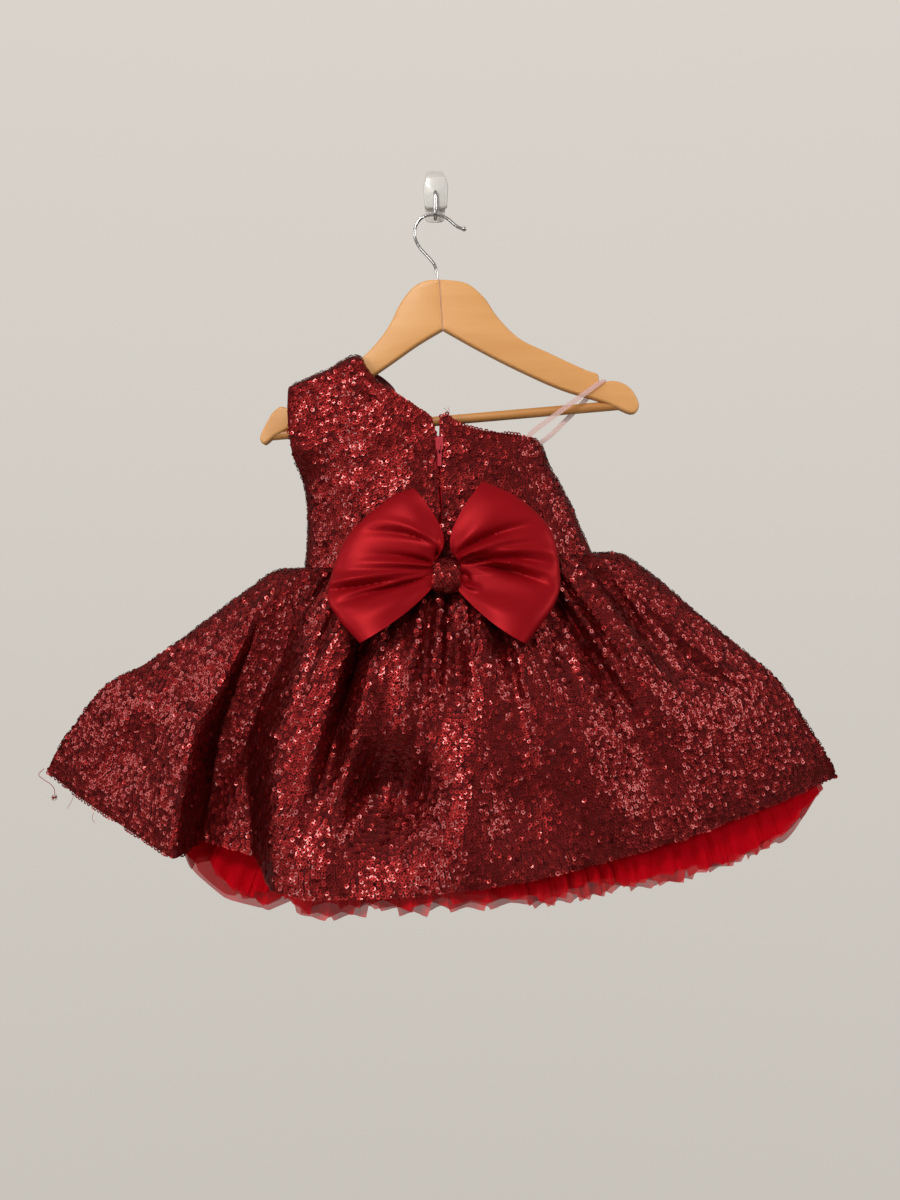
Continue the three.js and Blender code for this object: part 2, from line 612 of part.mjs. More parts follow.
function tullePoint(isBack, a, b) {
  const s = sideSpacing(a);
  const point = skirtPoint(isBack, s, b, tulleLayer);
  const plainY = point.y;
  const waves = isBack ? tulleWaves.back : tulleWaves.front;
  const fade = smoothstep(b, 0.1, 1) * Math.sin(Math.PI * s) ** 0.5;
  const ruffle = tulle.ruffle * fade * Math.sin(2 * Math.PI * waves * a);
  if (isBack) {
    const fold = foldAt(s, b, tulle.widen);
    point.y += 1.06 * fold - ruffle;
    point.z += 0.22 * fold;
  } else {
    point.y += 0.6 * ruffle - 3 * fade;
  }
  return keepSide(point, plainY, isBack, a, skirtPoint(isBack, 0, b, tulleLayer).y, tulleRoom);
}

const bothEnds = (a) => a === 0 || a === 1;

// A bow loop: a band folded back on itself. a goes from the knot round the outer end and back,
// b across the band from its lower to its upper edge.
function bowLoop(loop) {
  const sweep = (from, through, to, q) => {
    const bendPoint = new THREE.Vector2(2 * through.x - (from.x + to.x) / 2, 2 * through.z - (from.z + to.z) / 2);
    return new THREE.QuadraticBezierCurve(
      new THREE.Vector2(from.x, from.z), bendPoint, new THREE.Vector2(to.x, to.z)).getPoint(q);
  };
  const pointAt = (a, b) => {
    const q = Math.sin(Math.PI * a);
    const lowerEnd = loop.outer(0);
    const upperEnd = loop.outer(1);
    const lower = sweep(loop.inner[0], loop.bottom, lowerEnd, q);
    const upper = sweep(loop.inner[1], loop.top, upperEnd, q);
    const across = lower.clone().lerp(upper, b);
    const rim = loop.outer(b);
    across.x += q * (rim.x - lerp(lowerEnd.x, upperEnd.x, b));
    across.y += q * (rim.z - lerp(lowerEnd.z, upperEnd.z, b));
    const lean = across.y > knot.z ? bowLean.above : bowLean.below;
    const front = a <= 0.5 ? -1 : 1;
    const ridge = loopDepth.ridge * Math.cos(2 * Math.PI * loopDepth.ridges * b) * q * (1 - q ** 4);
    const half = (loopDepth.knot + loopDepth.grow * q) * Math.sqrt(Math.max(0, 1 - q ** 6));
    const y = knot.y + lean * (across.y - knot.z) + front * half - (front < 0 ? ridge : 0);
    return new THREE.Vector3(across.x, y, across.y);
  };
  const geometry = cloth(pointAt, 20, 10, satinWall, loop === loopLeft ? -1 : 1);
  return geometry;
}

function clearStrap() {
  const pointAt = (a, b) => {
    const point = strapPath(a);
    const turn = THREE.MathUtils.degToRad(point.turn);
    const shift = strap.wide * (b - 0.5);
    return new THREE.Vector3(point.x + shift * Math.cos(turn), point.y, point.z - shift * Math.sin(turn));
  };
  return cloth(pointAt, strap.steps, 1, strap.wall, -1);
}

// A hanger arm, leaning back towards the wall from the centre ridge to its tip.
function hangerArm(outline, sign) {
  const geometry = slab(outline, 0, arm.thick, arm.bevel);
  const position = geometry.attributes.position;
  for (let i = 0; i < position.count; i += 1) {
    const x = position.getX(i);
    const seam = lerp(arm.seamLow, arm.seamTop, (position.getZ(i) + 134.6) / 46.1);
    const away = clamp(Math.abs(x - seam) / arm.reach, 0, 1);
    const limit = seam + sign * seamGap / 2;
    position.setX(i, sign > 0 ? Math.max(x, limit) : Math.min(x, limit));
    position.setY(i, position.getY(i) + lerp(arm.ridgeY, arm.tipY, away) + arm.thick / 2);
  }
  return geometryOf(solidOf(geometry).subtract(solidOf(barGeometry(bar.hole, seamGap))));
}

function barGeometry(radius, longer) {
  const from = new THREE.Vector3(...bar.left);
  const to = new THREE.Vector3(...bar.right);
  const length = from.distanceTo(to) + 2 * longer;
  const geometry = new THREE.CylinderGeometry(radius, radius, length, bar.sides);
  geometry.rotateZ(-Math.PI / 2);
  geometry.rotateY(-Math.atan2(to.z - from.z, to.x - from.x));
  const middle = from.lerp(to, 0.5);
  geometry.translate(middle.x, middle.y, middle.z);
  return geometry;
}

function hangerHook() {
  const points = wirePath.map(([x, z]) => [x, wire.y, z]);
  const stem = solidOf(wireGeometry(points, wire.radius, 34));
  const ball = new THREE.SphereGeometry(wire.ball, 12, 8);
  const [x, z] = wirePath[wirePath.length - 1];
  ball.translate(x, wire.y, z);
  return geometryOf(stem.add(solidOf(ball)));
}

function wallHookPlate() {
  const middle = (plate.top + plate.low) / 2;
  const high = (plate.top - plate.low) / 2;
  const geometry = slab(roundedRectangle(plate.wide, -high, high, plate.corner), 0, plate.thick, 0);
  return geometry.translate(0, 0, middle);
}

function wallHookWire() {
  const points = hookWirePath.map(([y, z]) => [hookWire.x, y, z]);
  return wireGeometry(points, hookWire.radius, 22);
}

const group = new THREE.Group();

function add(name, geometry, look, parent = group) {
  const mesh = new THREE.Mesh(geometry, look);
  mesh.name = name;
  parent.add(mesh);
  return mesh;
}

add('bodice_back_left', bodiceBackLeft(), sequins);
add('bodice_back_right', bodiceBackRight(), sequins);
add('bodice_front', bodiceFront(), sequins);
add('front_neck_lining', neckLiningBand(), lining);
add('skirt_back', cloth(skirtBackPoint, skirtColumns.back, skirtRows.back, skirtWall, -1, bothEnds), sequins);
add('skirt_front', cloth(skirtFrontPoint, skirtColumns.front, skirtRows.front, skirtWall, 1, bothEnds), sequins);
add('tulle_back', cloth((a, b) => tullePoint(true, a, b), tulleColumns.back, tulleRows, tulleWall, -1, bothEnds), net);
add('tulle_front', cloth((a, b) => tullePoint(false, a, b), tulleColumns.front, tulleRows, tulleWall, 1, bothEnds), net);
add('zip_tape_left', zipTape(leftBackPoint, -1), satin);
add('zip_tape_right', zipTape(rightBackPoint, 1), satin);

const zip = zipFrame();
group.add(zip);
add('zip_slider', zipSlider(), pink, zip);
const pull = add('zip_pull_tab', pullTab(), pink, zip);
pull.position.set(0, -slider.clear - slider.deep - tab.out, tab.drop);

add('bow_loop_left', bowLoop(loopLeft), satin);
add('bow_loop_right', bowLoop(loopRight), satin);
const knotOutline = roundedRectangle(knot.wide, -knot.high / 2, knot.high / 2, knot.corner, 4);
const bowKnot = add('bow_knot', slab(knotOutline, knot.deep / 2, knot.deep, 4), sequins);
bowKnot.position.set(knot.x, knot.y, knot.z);
bowKnot.rotation.x = knot.tilt;
add('clear_strap', clearStrap(), clear);

add('hanger_arm_left', hangerArm(armLeft, -1), wood);
add('hanger_arm_right', hangerArm(armRight, 1), wood);
add('hanger_bar', barGeometry(bar.radius, 0), barWood);
add('hanger_hook', hangerHook(), chrome);
add('wall_hook_plate', wallHookPlate(), white);
add('wall_hook_cover', slab(coverOutline, cover.from, cover.deep, cover.bevel), white);
add('wall_hook_wire', wallHookWire(), chrome);

export default group;
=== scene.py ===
import math

import bpy
import numpy as np
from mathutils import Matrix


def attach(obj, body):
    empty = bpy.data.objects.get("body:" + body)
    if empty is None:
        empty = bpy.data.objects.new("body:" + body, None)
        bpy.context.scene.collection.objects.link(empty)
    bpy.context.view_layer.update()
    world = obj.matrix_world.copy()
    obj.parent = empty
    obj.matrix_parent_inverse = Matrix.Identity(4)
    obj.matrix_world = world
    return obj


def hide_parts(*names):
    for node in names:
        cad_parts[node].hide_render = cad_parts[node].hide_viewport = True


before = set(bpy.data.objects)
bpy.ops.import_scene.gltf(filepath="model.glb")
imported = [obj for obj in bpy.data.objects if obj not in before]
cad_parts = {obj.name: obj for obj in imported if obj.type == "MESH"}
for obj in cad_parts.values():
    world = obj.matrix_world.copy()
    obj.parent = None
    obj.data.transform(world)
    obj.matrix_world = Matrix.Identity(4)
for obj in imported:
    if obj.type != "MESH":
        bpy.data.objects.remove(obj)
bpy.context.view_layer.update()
rng = np.random.default_rng(23)
bpy.context.scene.view_settings.view_transform = "Standard"
print("frame loaded with", len(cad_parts), "solids")

# The shapes are worked out in millimetres, as the solids are, and put down in metres.
photo = {"x": 0.0141, "distance": 1.15, "z": -0.3836, "lens": 36.69}


def addCamera():
    place = (photo["x"], -photo["distance"], photo["z"])
    bpy.ops.object.camera_add(location=place, rotation=(math.pi / 2, 0, 0))
    camera = bpy.context.object
    camera.data.lens = photo["lens"]
    camera.data.sensor_width = 36
    camera.data.clip_start = 0.05
    bpy.context.scene.camera = camera


addCamera()


def clearSelection():
    if bpy.context.object and bpy.context.object.mode != "OBJECT":
        bpy.ops.object.mode_set(mode="OBJECT")
    bpy.ops.object.select_all(action="DESELECT")


def makeActive(piece):
    clearSelection()
    piece.select_set(True)
    bpy.context.view_layer.objects.active = piece


# One of edit mode's operators on the whole mesh.
def editWhole(piece, operator, **settings):
    makeActive(piece)
    bpy.ops.object.mode_set(mode="EDIT")
    bpy.ops.mesh.select_all(action="SELECT")
    operator(**settings)
    bpy.ops.object.mode_set(mode="OBJECT")


def readPoints(piece):
    points = np.empty(3 * len(piece.data.vertices))
    piece.data.vertices.foreach_get("co", points)
    return points.reshape(-1, 3)


def writePoints(piece, points):
    piece.data.vertices.foreach_set("co", np.asarray(points, float).ravel())
    piece.data.update()


def between(low, high, share):
    return low + (high - low) * share


def smoothStep(x, low, high):
    part = np.clip((x - low) / (high - low), 0, 1)
    return part * part * (3 - 2 * part)


def unit(vectors):
    return vectors / np.maximum(np.linalg.norm(vectors, axis=-1, keepdims=True), 1e-12)


# A smooth curve through points, read at a place counted in points.
def throughPoints(points, place):
    points = np.asarray(points, float)
    last = len(points) - 1
    longer = np.vstack([2 * points[0] - points[1], points, 2 * points[-1] - points[-2]])
    i = np.clip(np.floor(place).astype(int), 0, last - 1)
    w = (place - i)[..., None]
    before, start, end, after = (longer[i + k] for k in range(4))
    leave, arrive = 0.5 * (end - before), 0.5 * (after - start)
    square = 3 * (end - start) - 2 * leave - arrive
    return start + w * leave + w**2 * square + w**3 * (2 * (start - end) + leave + arrive)


# The rest of a row, read smoothly from a table whose first column is the place.
def readTable(rows, s):
    rows = np.asarray(rows, float)
    s = np.asarray(s, float)
    i = np.clip(np.searchsorted(rows[:, 0], s, side="left") - 1, 0, len(rows) - 2)
    part = np.clip((s - rows[i, 0]) / (rows[i + 1, 0] - rows[i, 0]), 0, 1)
    return throughPoints(rows[:, 1:], i + part)


# Soft random waves of about one size.
def ripples(x, z, size, seed, count=7):
    waves = np.random.default_rng(seed)
    total = 0
    for _ in range(count):
        turn = waves.uniform(0, math.pi)
        length = size * waves.uniform(0.7, 1.7)
        start = waves.uniform(0, 6.3)
        along = x * math.cos(turn) + z * math.sin(turn)
        total = total + np.sin(2 * math.pi * along / length + start)
    return total / math.sqrt(count)


# A sheet of cloth, laid by a function of the place across and along, both from 0 to 1.
def clothGrid(name, columns, rows, place, outward):
    clearSelection()
    bpy.ops.mesh.primitive_grid_add(x_subdivisions=columns, y_subdivisions=rows, size=1, location=(0, 0, 0))
    piece = bpy.context.object
    piece.name = piece.data.name = name
    flat = readPoints(piece)
    writePoints(piece, 0.001 * place(flat[:, 0] + 0.5, flat[:, 1] + 0.5))
    turnOut(piece, outward)
    return piece


# Outward is a direction, or None where the piece goes round its own middle.
def turnOut(piece, outward):
    count = len(piece.data.polygons)
    normals, centres = np.empty(3 * count), np.empty(3 * count)
    piece.data.polygons.foreach_get("normal", normals)
    piece.data.polygons.foreach_get("center", centres)
    normals, centres = normals.reshape(-1, 3), centres.reshape(-1, 3)
    away = centres - centres.mean(0) if outward is None else np.asarray(outward, float)
    if (normals * away).sum() < 0:
        editWhole(piece, bpy.ops.mesh.flip_normals)


def giveWall(piece, wall, insideToo=False):
    makeActive(piece)
    thick = piece.modifiers.new("wall", "SOLIDIFY")
    thick.thickness = 0.001 * wall
    thick.offset = -1
    if insideToo:
        thick.material_offset = 1
        thick.material_offset_rim = 0
    bpy.ops.object.modifier_apply(modifier=thick.name)
    bpy.ops.object.shade_smooth_by_angle(angle=math.radians(50))


def finishPiece(piece, slot, *materials, replaces=()):
    piece.data.materials.clear()
    for material in materials:
        piece.data.materials.append(material)
    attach(piece, "dress")
    if replaces:
        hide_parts(*replaces)
    return piece


def newMaterial(name, color, roughness, settings=()):
    material = bpy.data.materials.new(name)
    material.use_nodes = True
    shader = material.node_tree.nodes["Principled BSDF"]
    shader.inputs["Base Color"].default_value = (*color, 1)
    shader.inputs["Roughness"].default_value = roughness
    for socket, value in dict(settings).items():
        shader.inputs[socket].default_value = value
    return material


def addNode(material, kind):
    return material.node_tree.nodes.new(kind)


def pattern(material, kind, scale, stretch=(1, 1, 1), **sockets):
    tree = material.node_tree
    where = addNode(material, "ShaderNodeTexCoord")
    mapping = addNode(material, "ShaderNodeMapping")
    mapping.inputs["Scale"].default_value = stretch
    texture = addNode(material, kind)
    texture.inputs["Scale"].default_value = scale
    for socket, value in sockets.items():
        texture.inputs[socket].default_value = value
    tree.links.new(where.outputs["Object"], mapping.inputs["Vector"])
    tree.links.new(mapping.outputs["Vector"], texture.inputs["Vector"])
    return texture


def colorBy(material, texture, output, stops):
    tree = material.node_tree
    ramp = addNode(material, "ShaderNodeValToRGB")
    while len(ramp.color_ramp.elements) < len(stops):
        ramp.color_ramp.elements.new(0.5)
    for element, (position, color) in zip(ramp.color_ramp.elements, stops):
        element.position = position
        element.color = (*color, 1)
    tree.links.new(texture.outputs[output], ramp.inputs["Fac"])
    tree.links.new(ramp.outputs["Color"], tree.nodes["Principled BSDF"].inputs["Base Color"])


def bumpBy(material, texture, output, strength, distance):
    tree = material.node_tree
    bump = addNode(material, "ShaderNodeBump")
    bump.inputs["Strength"].default_value = strength
    bump.inputs["Distance"].default_value = distance
    shader = tree.nodes["Principled BSDF"]
    if shader.inputs["Normal"].is_linked:
        tree.links.new(shader.inputs["Normal"].links[0].from_socket, bump.inputs["Normal"])
    tree.links.new(texture.outputs[output], bump.inputs["Height"])
    tree.links.new(bump.outputs["Normal"], shader.inputs["Normal"])


def roughBy(material, texture, output, low, high):
    tree = material.node_tree
    spread = addNode(material, "ShaderNodeMapRange")
    spread.inputs["To Min"].default_value = low
    spread.inputs["To Max"].default_value = high
    tree.links.new(texture.outputs[output], spread.inputs["Value"])
    tree.links.new(spread.outputs["Result"], tree.nodes["Principled BSDF"].inputs["Roughness"])


def sequinMaterial(name, color, roughness):
    settings = {"Metallic": 0.85, "Coat Weight": 0.3, "Coat Roughness": 0.1}
    material = newMaterial(name, color, roughness, settings)
    noise = pattern(material, "ShaderNodeTexNoise", 900, Detail=2)
    roughBy(material, noise, "Fac", 0.8 * roughness, 1.2 * roughness)
    return material


def meshClothMaterial():
    material = newMaterial("sequinBacking", (0.09, 0.005, 0.007), 0.9, {"Specular IOR Level": 0.2})
    noise = pattern(material, "ShaderNodeTexNoise", 160, Detail=5)
    colorBy(material, noise, "Fac", [(0.3, (0.055, 0.003, 0.004)), (0.7, (0.13, 0.007, 0.009))])
    bumpBy(material, pattern(material, "ShaderNodeTexVoronoi", 900), "Distance", 0.5, 0.0004)
    return material


def liningMaterial():
    material = newMaterial("liningTaffeta", (0.17, 0.008, 0.014), 0.5, {"Sheen Weight": 0.15})
    noise = pattern(material, "ShaderNodeTexNoise", 45, Detail=3)
    colorBy(material, noise, "Fac", [(0.3, (0.12, 0.006, 0.011)), (0.75, (0.21, 0.011, 0.018))])
    bumpBy(material, pattern(material, "ShaderNodeTexWave", 700, **{"Distortion": 0.4}), "Fac", 0.12, 0.0003)
    return material


def satinMaterial():
    settings = {"Specular IOR Level": 0.08, "Metallic": 0.3}
    material = newMaterial("bowSatin", (0.31, 0.004, 0.009), 0.42, settings)
    noise = pattern(material, "ShaderNodeTexNoise", 26, Detail=3)
    colorBy(material, noise, "Fac", [(0.3, (0.28, 0.0035, 0.008)), (0.75, (0.34, 0.005, 0.010))])
    bumpBy(material, pattern(material, "ShaderNodeTexNoise", 620, (1, 1, 6), Detail=2), "Fac", 0.1, 0.0003)
    return material


def netMaterial():
    material = newMaterial("netTulle", (0.66, 0.003, 0.012), 0.9, {"Alpha": 0.78, "Specular IOR Level": 0.0})
    bumpBy(material, pattern(material, "ShaderNodeTexVoronoi", 1100), "Distance", 0.35, 0.0003)
    return material


def woodMaterial(name, light, dark, scale):
    material = newMaterial(name, light, 0.42, {"Coat Weight": 0.25, "Coat Roughness": 0.3})
    knots = {"Detail": 8, "Roughness": 0.62, "Distortion": 0.35}
    grain = pattern(material, "ShaderNodeTexNoise", scale, (0.05, 1, 1), **knots)
    middle = tuple(0.5 * (a + b) for a, b in zip(light, dark))
    colorBy(material, grain, "Fac", [(0.28, dark), (0.5, middle), (0.66, light)])
    pores = pattern(material, "ShaderNodeTexNoise", 9 * scale, (0.03, 1, 1), Detail=3)
    bumpBy(material, pores, "Fac", 0.12, 0.0004)
    roughBy(material, pores, "Fac", 0.32, 0.55)
    return material


def metalMaterial(name, color, low, high):
    material = newMaterial(name, color, low, {"Metallic": 1.0})
    roughBy(material, pattern(material, "ShaderNodeTexNoise", 260, Detail=3), "Fac", low, high)
    return material


def plasticMaterial(name, color, low, high):
    material = newMaterial(name, color, low, {"Coat Weight": 0.2})
    noise = pattern(material, "ShaderNodeTexNoise", 90, Detail=2)
    roughBy(material, noise, "Fac", low, high)
    bumpBy(material, noise, "Fac", 0.04, 0.0003)
    return material


# The first three tones differ at random; the pale fourth is a painted glint, its colour a painted highlight
# on about one sequin in a hundred.
sequinTones = [
    sequinMaterial("sequinWine", (0.20, 0.006, 0.007), 0.38),
    sequinMaterial("sequinRed", (0.29, 0.010, 0.011), 0.36),
    sequinMaterial("sequinRose", (0.42, 0.028, 0.024), 0.32),
    sequinMaterial("sequinPaintedGlint", (0.95, 0.66, 0.52), 0.18),
]
meshCloth = meshClothMaterial()
lining = liningMaterial()
satin = satinMaterial()
net = netMaterial()
wood = woodMaterial("hangerWood", (0.86, 0.45, 0.165), (0.76, 0.36, 0.115), 44)
barWood = woodMaterial("barWoodDark", (0.68, 0.32, 0.095), (0.46, 0.19, 0.047), 34)
chrome = metalMaterial("hookChrome", (0.62, 0.62, 0.63), 0.12, 0.28)
zipMetal = metalMaterial("zipRed", (0.36, 0.035, 0.05), 0.28, 0.42)
white = plasticMaterial("hookWhite", (0.72, 0.72, 0.71), 0.2, 0.32)
stripGel = newMaterial("stripGel", (0.85, 0.84, 0.82), 0.35, {"Transmission Weight": 0.4})
bumpBy(stripGel, pattern(stripGel, "ShaderNodeTexNoise", 300, Detail=2), "Fac", 0.1, 0.0003)
clearBand = newMaterial("clearElastic", (0.86, 0.60, 0.58), 0.3, {"Alpha": 0.5, "Coat Weight": 0.3})
bumpBy(clearBand, pattern(clearBand, "ShaderNodeTexNoise", 420, Detail=2), "Fac", 0.1, 0.0003)
thread = newMaterial("sewingThread", (0.34, 0.01, 0.016), 0.6)
bumpBy(thread, pattern(thread, "ShaderNodeTexWave", 1600), "Fac", 0.3, 0.0002)
print("materials made")

# The bodice: s runs from its left edge to its right one, t from the waist up.
bodice = {
    "waist": [(-119, -358), (144.6, -343.2)],
    "seamY": (-30, -16), "backDepth": (32, 27), "frontDepth": (26, 13), "squareness": 2.6,
    "shoulderInner": 0.19, "shoulderFlat": (0.21, 0.34), "shoulderTop": 0.93,
    "underarm": 0.47, "armholeOpen": 0.85, "armholeHigh": 0.16, "armholeWide": 0.14,
    "gap": 0.3, "wall": 1.2, "creases": {"deep": 0.55, "size": 34},
    "zipPlace": 0.4685, "zipGap": 2.8, "zipSpread": 5, "zipSpreadFrom": 0.87,
    "leftEdge": [
        (0, -119, -358), (0.12, -117, -338), (0.25, -116.5, -314), (0.36, -117.5, -294),
        (0.47, -120.5, -276), (0.6, -127.4, -255), (0.7, -130.8, -238), (0.84, -133.2, -215),
        (1, -133.1, -186.4)],
    "rightEdge": [
        (0, 144.6, -343.2), (0.27, 132.7, -315.6), (0.46, 125.9, -297.2), (0.66, 116.1, -277.9),
        (0.84, 106, -259.5), (1, 100.1, -243)],
    "backTopLeft": [
        (0, -133.1, -186.4), (0.06, -115.5, -178.1), (0.12, -97, -169.8), (0.19, -72.9, -158),
        (0.235, -61, -173.5), (0.27, -51.1, -186.1), (0.34, -33, -198.8), (0.41, -14.3, -209.3),
        (0.45, -3, -214.5), (0.4685, 3, -219.5)],
    "backTopRight": [
        (0.4685, 4.5, -217.5), (0.5, 11.5, -215.3), (0.53, 17, -221.5), (0.62, 34, -228),
        (0.73, 54.9, -231.4), (0.86, 78.1, -233.6), (0.94, 92, -236.8), (1, 100.1, -243)],
    "frontTop": [
        (0, -133.1, -186.4), (0.06, -115.5, -178.1), (0.12, -97, -169.8), (0.19, -72.9, -158),
        (0.225, -62.5, -168), (0.27, -48.5, -176.3), (0.31, -38.2, -185.6), (0.35, -31.7, -197.8),
        (0.46, 1, -229), (0.6, 38, -240), (0.8, 76, -242.5), (1, 100.1, -243)],
}


def bodicePlane(top, s, t):
    low, high = (np.array(corner, float) for corner in bodice["waist"])
    point = between(between(low, high, s[:, None]), readTable(top, s), t[:, None])
    for edge, share in ((bodice["leftEdge"], (1 - s) ** 3), (bodice["rightEdge"], s**3)):
        first, last = readTable(edge, [0.0, 1.0])
        point = point + (readTable(edge, t) - between(first, last, t[:, None])) * share[:, None]
    return point


def roundSides(s):
    return np.sqrt(np.maximum(0, 1 - np.abs(2 * s - 1) ** bodice["squareness"]))


# How far a point stands out from the side seams, from 0 to 1.
def bodiceRound(s, t):
    sides = roundSides(s)
    low, top = bodice["underarm"], bodice["shoulderTop"]
    openShare = bodice["armholeOpen"] * smoothStep(t, low, low + bodice["armholeHigh"])
    openShare = openShare * np.clip(1 - s / bodice["armholeWide"], 0, 1)
    over = np.sqrt(np.maximum(0, 1 - np.clip((t - top) / (1 - top), 0, 1) ** 3))
    inner, (soon, late) = bodice["shoulderInner"], bodice["shoulderFlat"]
    wrapped = 0.7 * smoothStep(s, inner, soon) + 0.3 * smoothStep(s, inner, late)
    return (openShare + (1 - openShare) * sides) * between(over, 1, wrapped)


def bodicePoint(top, isBack, s, t):
    plane = bodicePlane(top, s, t)
    low, high = bodice["backDepth"] if isBack else bodice["frontDepth"]
    out = between(low, high, t) * bodiceRound(s, t) + 0.5 * bodice["gap"]
    y = between(*bodice["seamY"], t) + (-out if isBack else out)
    # Small creases of worn cloth, which fade out towards the seams.
    fade = np.clip(12 * s, 0, 1) * np.clip(12 * (1 - s), 0, 1)
    fade = fade * smoothStep(t, 0, 0.1) * (1 - smoothStep(t, 0.85, 0.98))
    creases = bodice["creases"]
    y = y + creases["deep"] * fade * ripples(plane[:, 0], plane[:, 1], creases["size"], 5)
    return np.column_stack([plane[:, 0], y, plane[:, 1]])


def leftBack(a, b):
    s = a * bodice["zipPlace"]
    point = bodicePoint(bodice["backTopLeft"], True, s, b)
    near = smoothStep(s, bodice["zipPlace"] - 0.12, bodice["zipPlace"])
    swing = bodice["zipGap"] / 2 + bodice["zipSpread"] * smoothStep(b, bodice["zipSpreadFrom"], 1)
    point[:, 0] -= near * swing
    return point


def rightBack(a, b):
    s = between(bodice["zipPlace"], 1, a)
    point = bodicePoint(bodice["backTopRight"], True, s, b)
    point[:, 0] += (1 - smoothStep(s, bodice["zipPlace"], bodice["zipPlace"] + 0.06)) * bodice["zipGap"] / 2
    return point


def bodiceFront(a, b):
    return bodicePoint(bodice["frontTop"], False, a, b)


def makeBodice():
    parts = {}
    for name, columns, rows, place, outward, node in (
            ("bodiceBackLeftCloth", 60, 80, leftBack, (0, -1, 0), "bodice_back_left"),
            ("bodiceBackRightCloth", 60, 56, rightBack, (0, -1, 0), "bodice_back_right"),
            ("bodiceFrontCloth", 110, 70, bodiceFront, (0, 1, 0), "bodice_front")):
        piece = clothGrid(name, columns, rows, place, outward)
        giveWall(piece, bodice["wall"], insideToo=True)
        finishPiece(piece, "sequin_cloth", meshCloth, lining, replaces=[node])
        parts[name] = piece
    return parts


bodiceParts = makeBodice()
print("bodice made")

# The skirt: s runs from the left side seam to the right one, v from the waist down to the hem.
skirt = {
    "wall": 1.4, "room": 25, "seamGap": 0.15, "seamStep": 1.8, "foldLift": 0.22,
    "puff": {"side": 60, "sideLift": 8, "back": 16, "front": 1},
    "bend": {"share": 0.72, "leftUp": 52, "rightUp": 56, "backUp": 10, "backOut": 8},
    "hemBack": [
        (0, -358, -20, -542), (0.07, -310, -52, -567), (0.14, -258, -84, -590), (0.2, -212, -112, -608),
        (0.25, -178, -127, -617), (0.31, -136, -140, -624), (0.38, -90, -149, -628), (0.46, -30, -155, -626),
        (0.58, 56, -155, -615), (0.68, 125, -140, -604), (0.75, 165, -127, -596), (0.83, 225, -104, -584),
        (0.9, 280, -75, -570), (0.95, 325, -50, -558), (1, 371, -20, -547)],
    "hemFront": [
        (0, -358, -20, -542), (0.06, -315, -8, -570), (0.25, -180, -6, -620), (0.5, 5, -6, -636),
        (0.75, 190, -6, -612), (0.94, 324, -8, -566), (1, 371, -20, -547)],
    # Folds of the back: place at the waist and at the hem, half width, depth, start, full depth, end,
    # and skew, which below 1 makes the left side the steeper one.
    "folds": [
        (0.03, 0.235, 0.068, 62, 0, 0.95, 1.4, 0.75), (0.31, 0.345, 0.034, 22, 0.05, 0.5, 1, 0.8),
        (0.22, 0.275, 0.018, 8, 0.05, 0.3, 0.65, 1), (0.42, 0.42, 0.06, 10, 0.3, 0.7, 1.2, 1),
        (0.45, 0.475, 0.024, 11, 0.08, 0.4, 0.9, 1), (0.61, 0.64, 0.026, 13, 0.06, 0.35, 0.8, 1.2),
        (0.72, 0.83, 0.03, 15, 0.05, 0.4, 0.9, 1.2), (0.88, 0.9, 0.024, 12, 0.03, 0.3, 0.8, 1)],
    # Towards the hem the first fold has a flat bottom, this share of its width.
    "flatFrom": 0.55, "flatShare": 0.45,
    # Smaller creases, which only show as shade.
    "creases": [
        (0.318, 0.342, 0.011, 8, 0.1, 0.5, 0.85, 0.7), (0.37, 0.385, 0.014, 5, 0.06, 0.25, 0.6, 1),
        (0.5, 0.51, 0.014, 5, 0.04, 0.25, 0.7, 1), (0.555, 0.57, 0.012, 4.5, 0.04, 0.25, 0.65, 1),
        (0.66, 0.69, 0.013, 5, 0.05, 0.25, 0.6, 1), (0.77, 0.86, 0.014, 5.5, 0.05, 0.35, 0.75, 1.2),
        (0.16, 0.18, 0.014, 5, 0.05, 0.2, 0.45, 1), (0.94, 0.95, 0.018, 6, 0.05, 0.25, 0.7, 1)],
    # Broad hollows: place across and down, half width, half height, depth.
    "pockets": [
        (0.44, 0.765, 0.07, 0.13, 34), (0.35, 0.68, 0.016, 0.12, 9), (0.165, 0.52, 0.03, 0.14, 13),
        (0.09, 0.84, 0.05, 0.12, 7), (0.53, 0.47, 0.03, 0.15, 15), (0.61, 0.84, 0.05, 0.1, 7),
        (0.74, 0.48, 0.03, 0.12, 14), (0.8, 0.82, 0.05, 0.12, 7), (0.93, 0.58, 0.03, 0.16, 8)],
    "gathers": {"count": 21, "deep": 1.7, "from": 0.02, "full": 0.12, "to": 0.45},
    "soft": {"deep": 2.6, "across": 900, "down": 260, "size": 105},
    "frontWaves": {"deep": 1.6, "count": 11},
    # How the sides stand in or out from a plain curve: place down the side, across and up.
    "dents": {
        "left": [(0, 0, 0), (0.12, -1, 3), (0.25, 4, -3), (0.45, 8, -8), (0.62, 5, -5), (0.74, -5, 3),
                 (0.86, -4, 2), (0.95, -3, 1), (1, 0, 0)],
        "right": [(0, 0, 0), (0.12, 1, 4), (0.25, -3, 0), (0.45, -5, -5), (0.6, -2, -2), (0.72, 4, 2),
                  (0.86, 2, 1), (0.95, 2, 1), (1, 0, 0)]},
    "dentReach": 0.3,
}
plainLayer = {"waist": 0, "drop": 0, "inset": 0, "droop": 0, "below": [(0, 0), (1, 0)], "lower": 0}


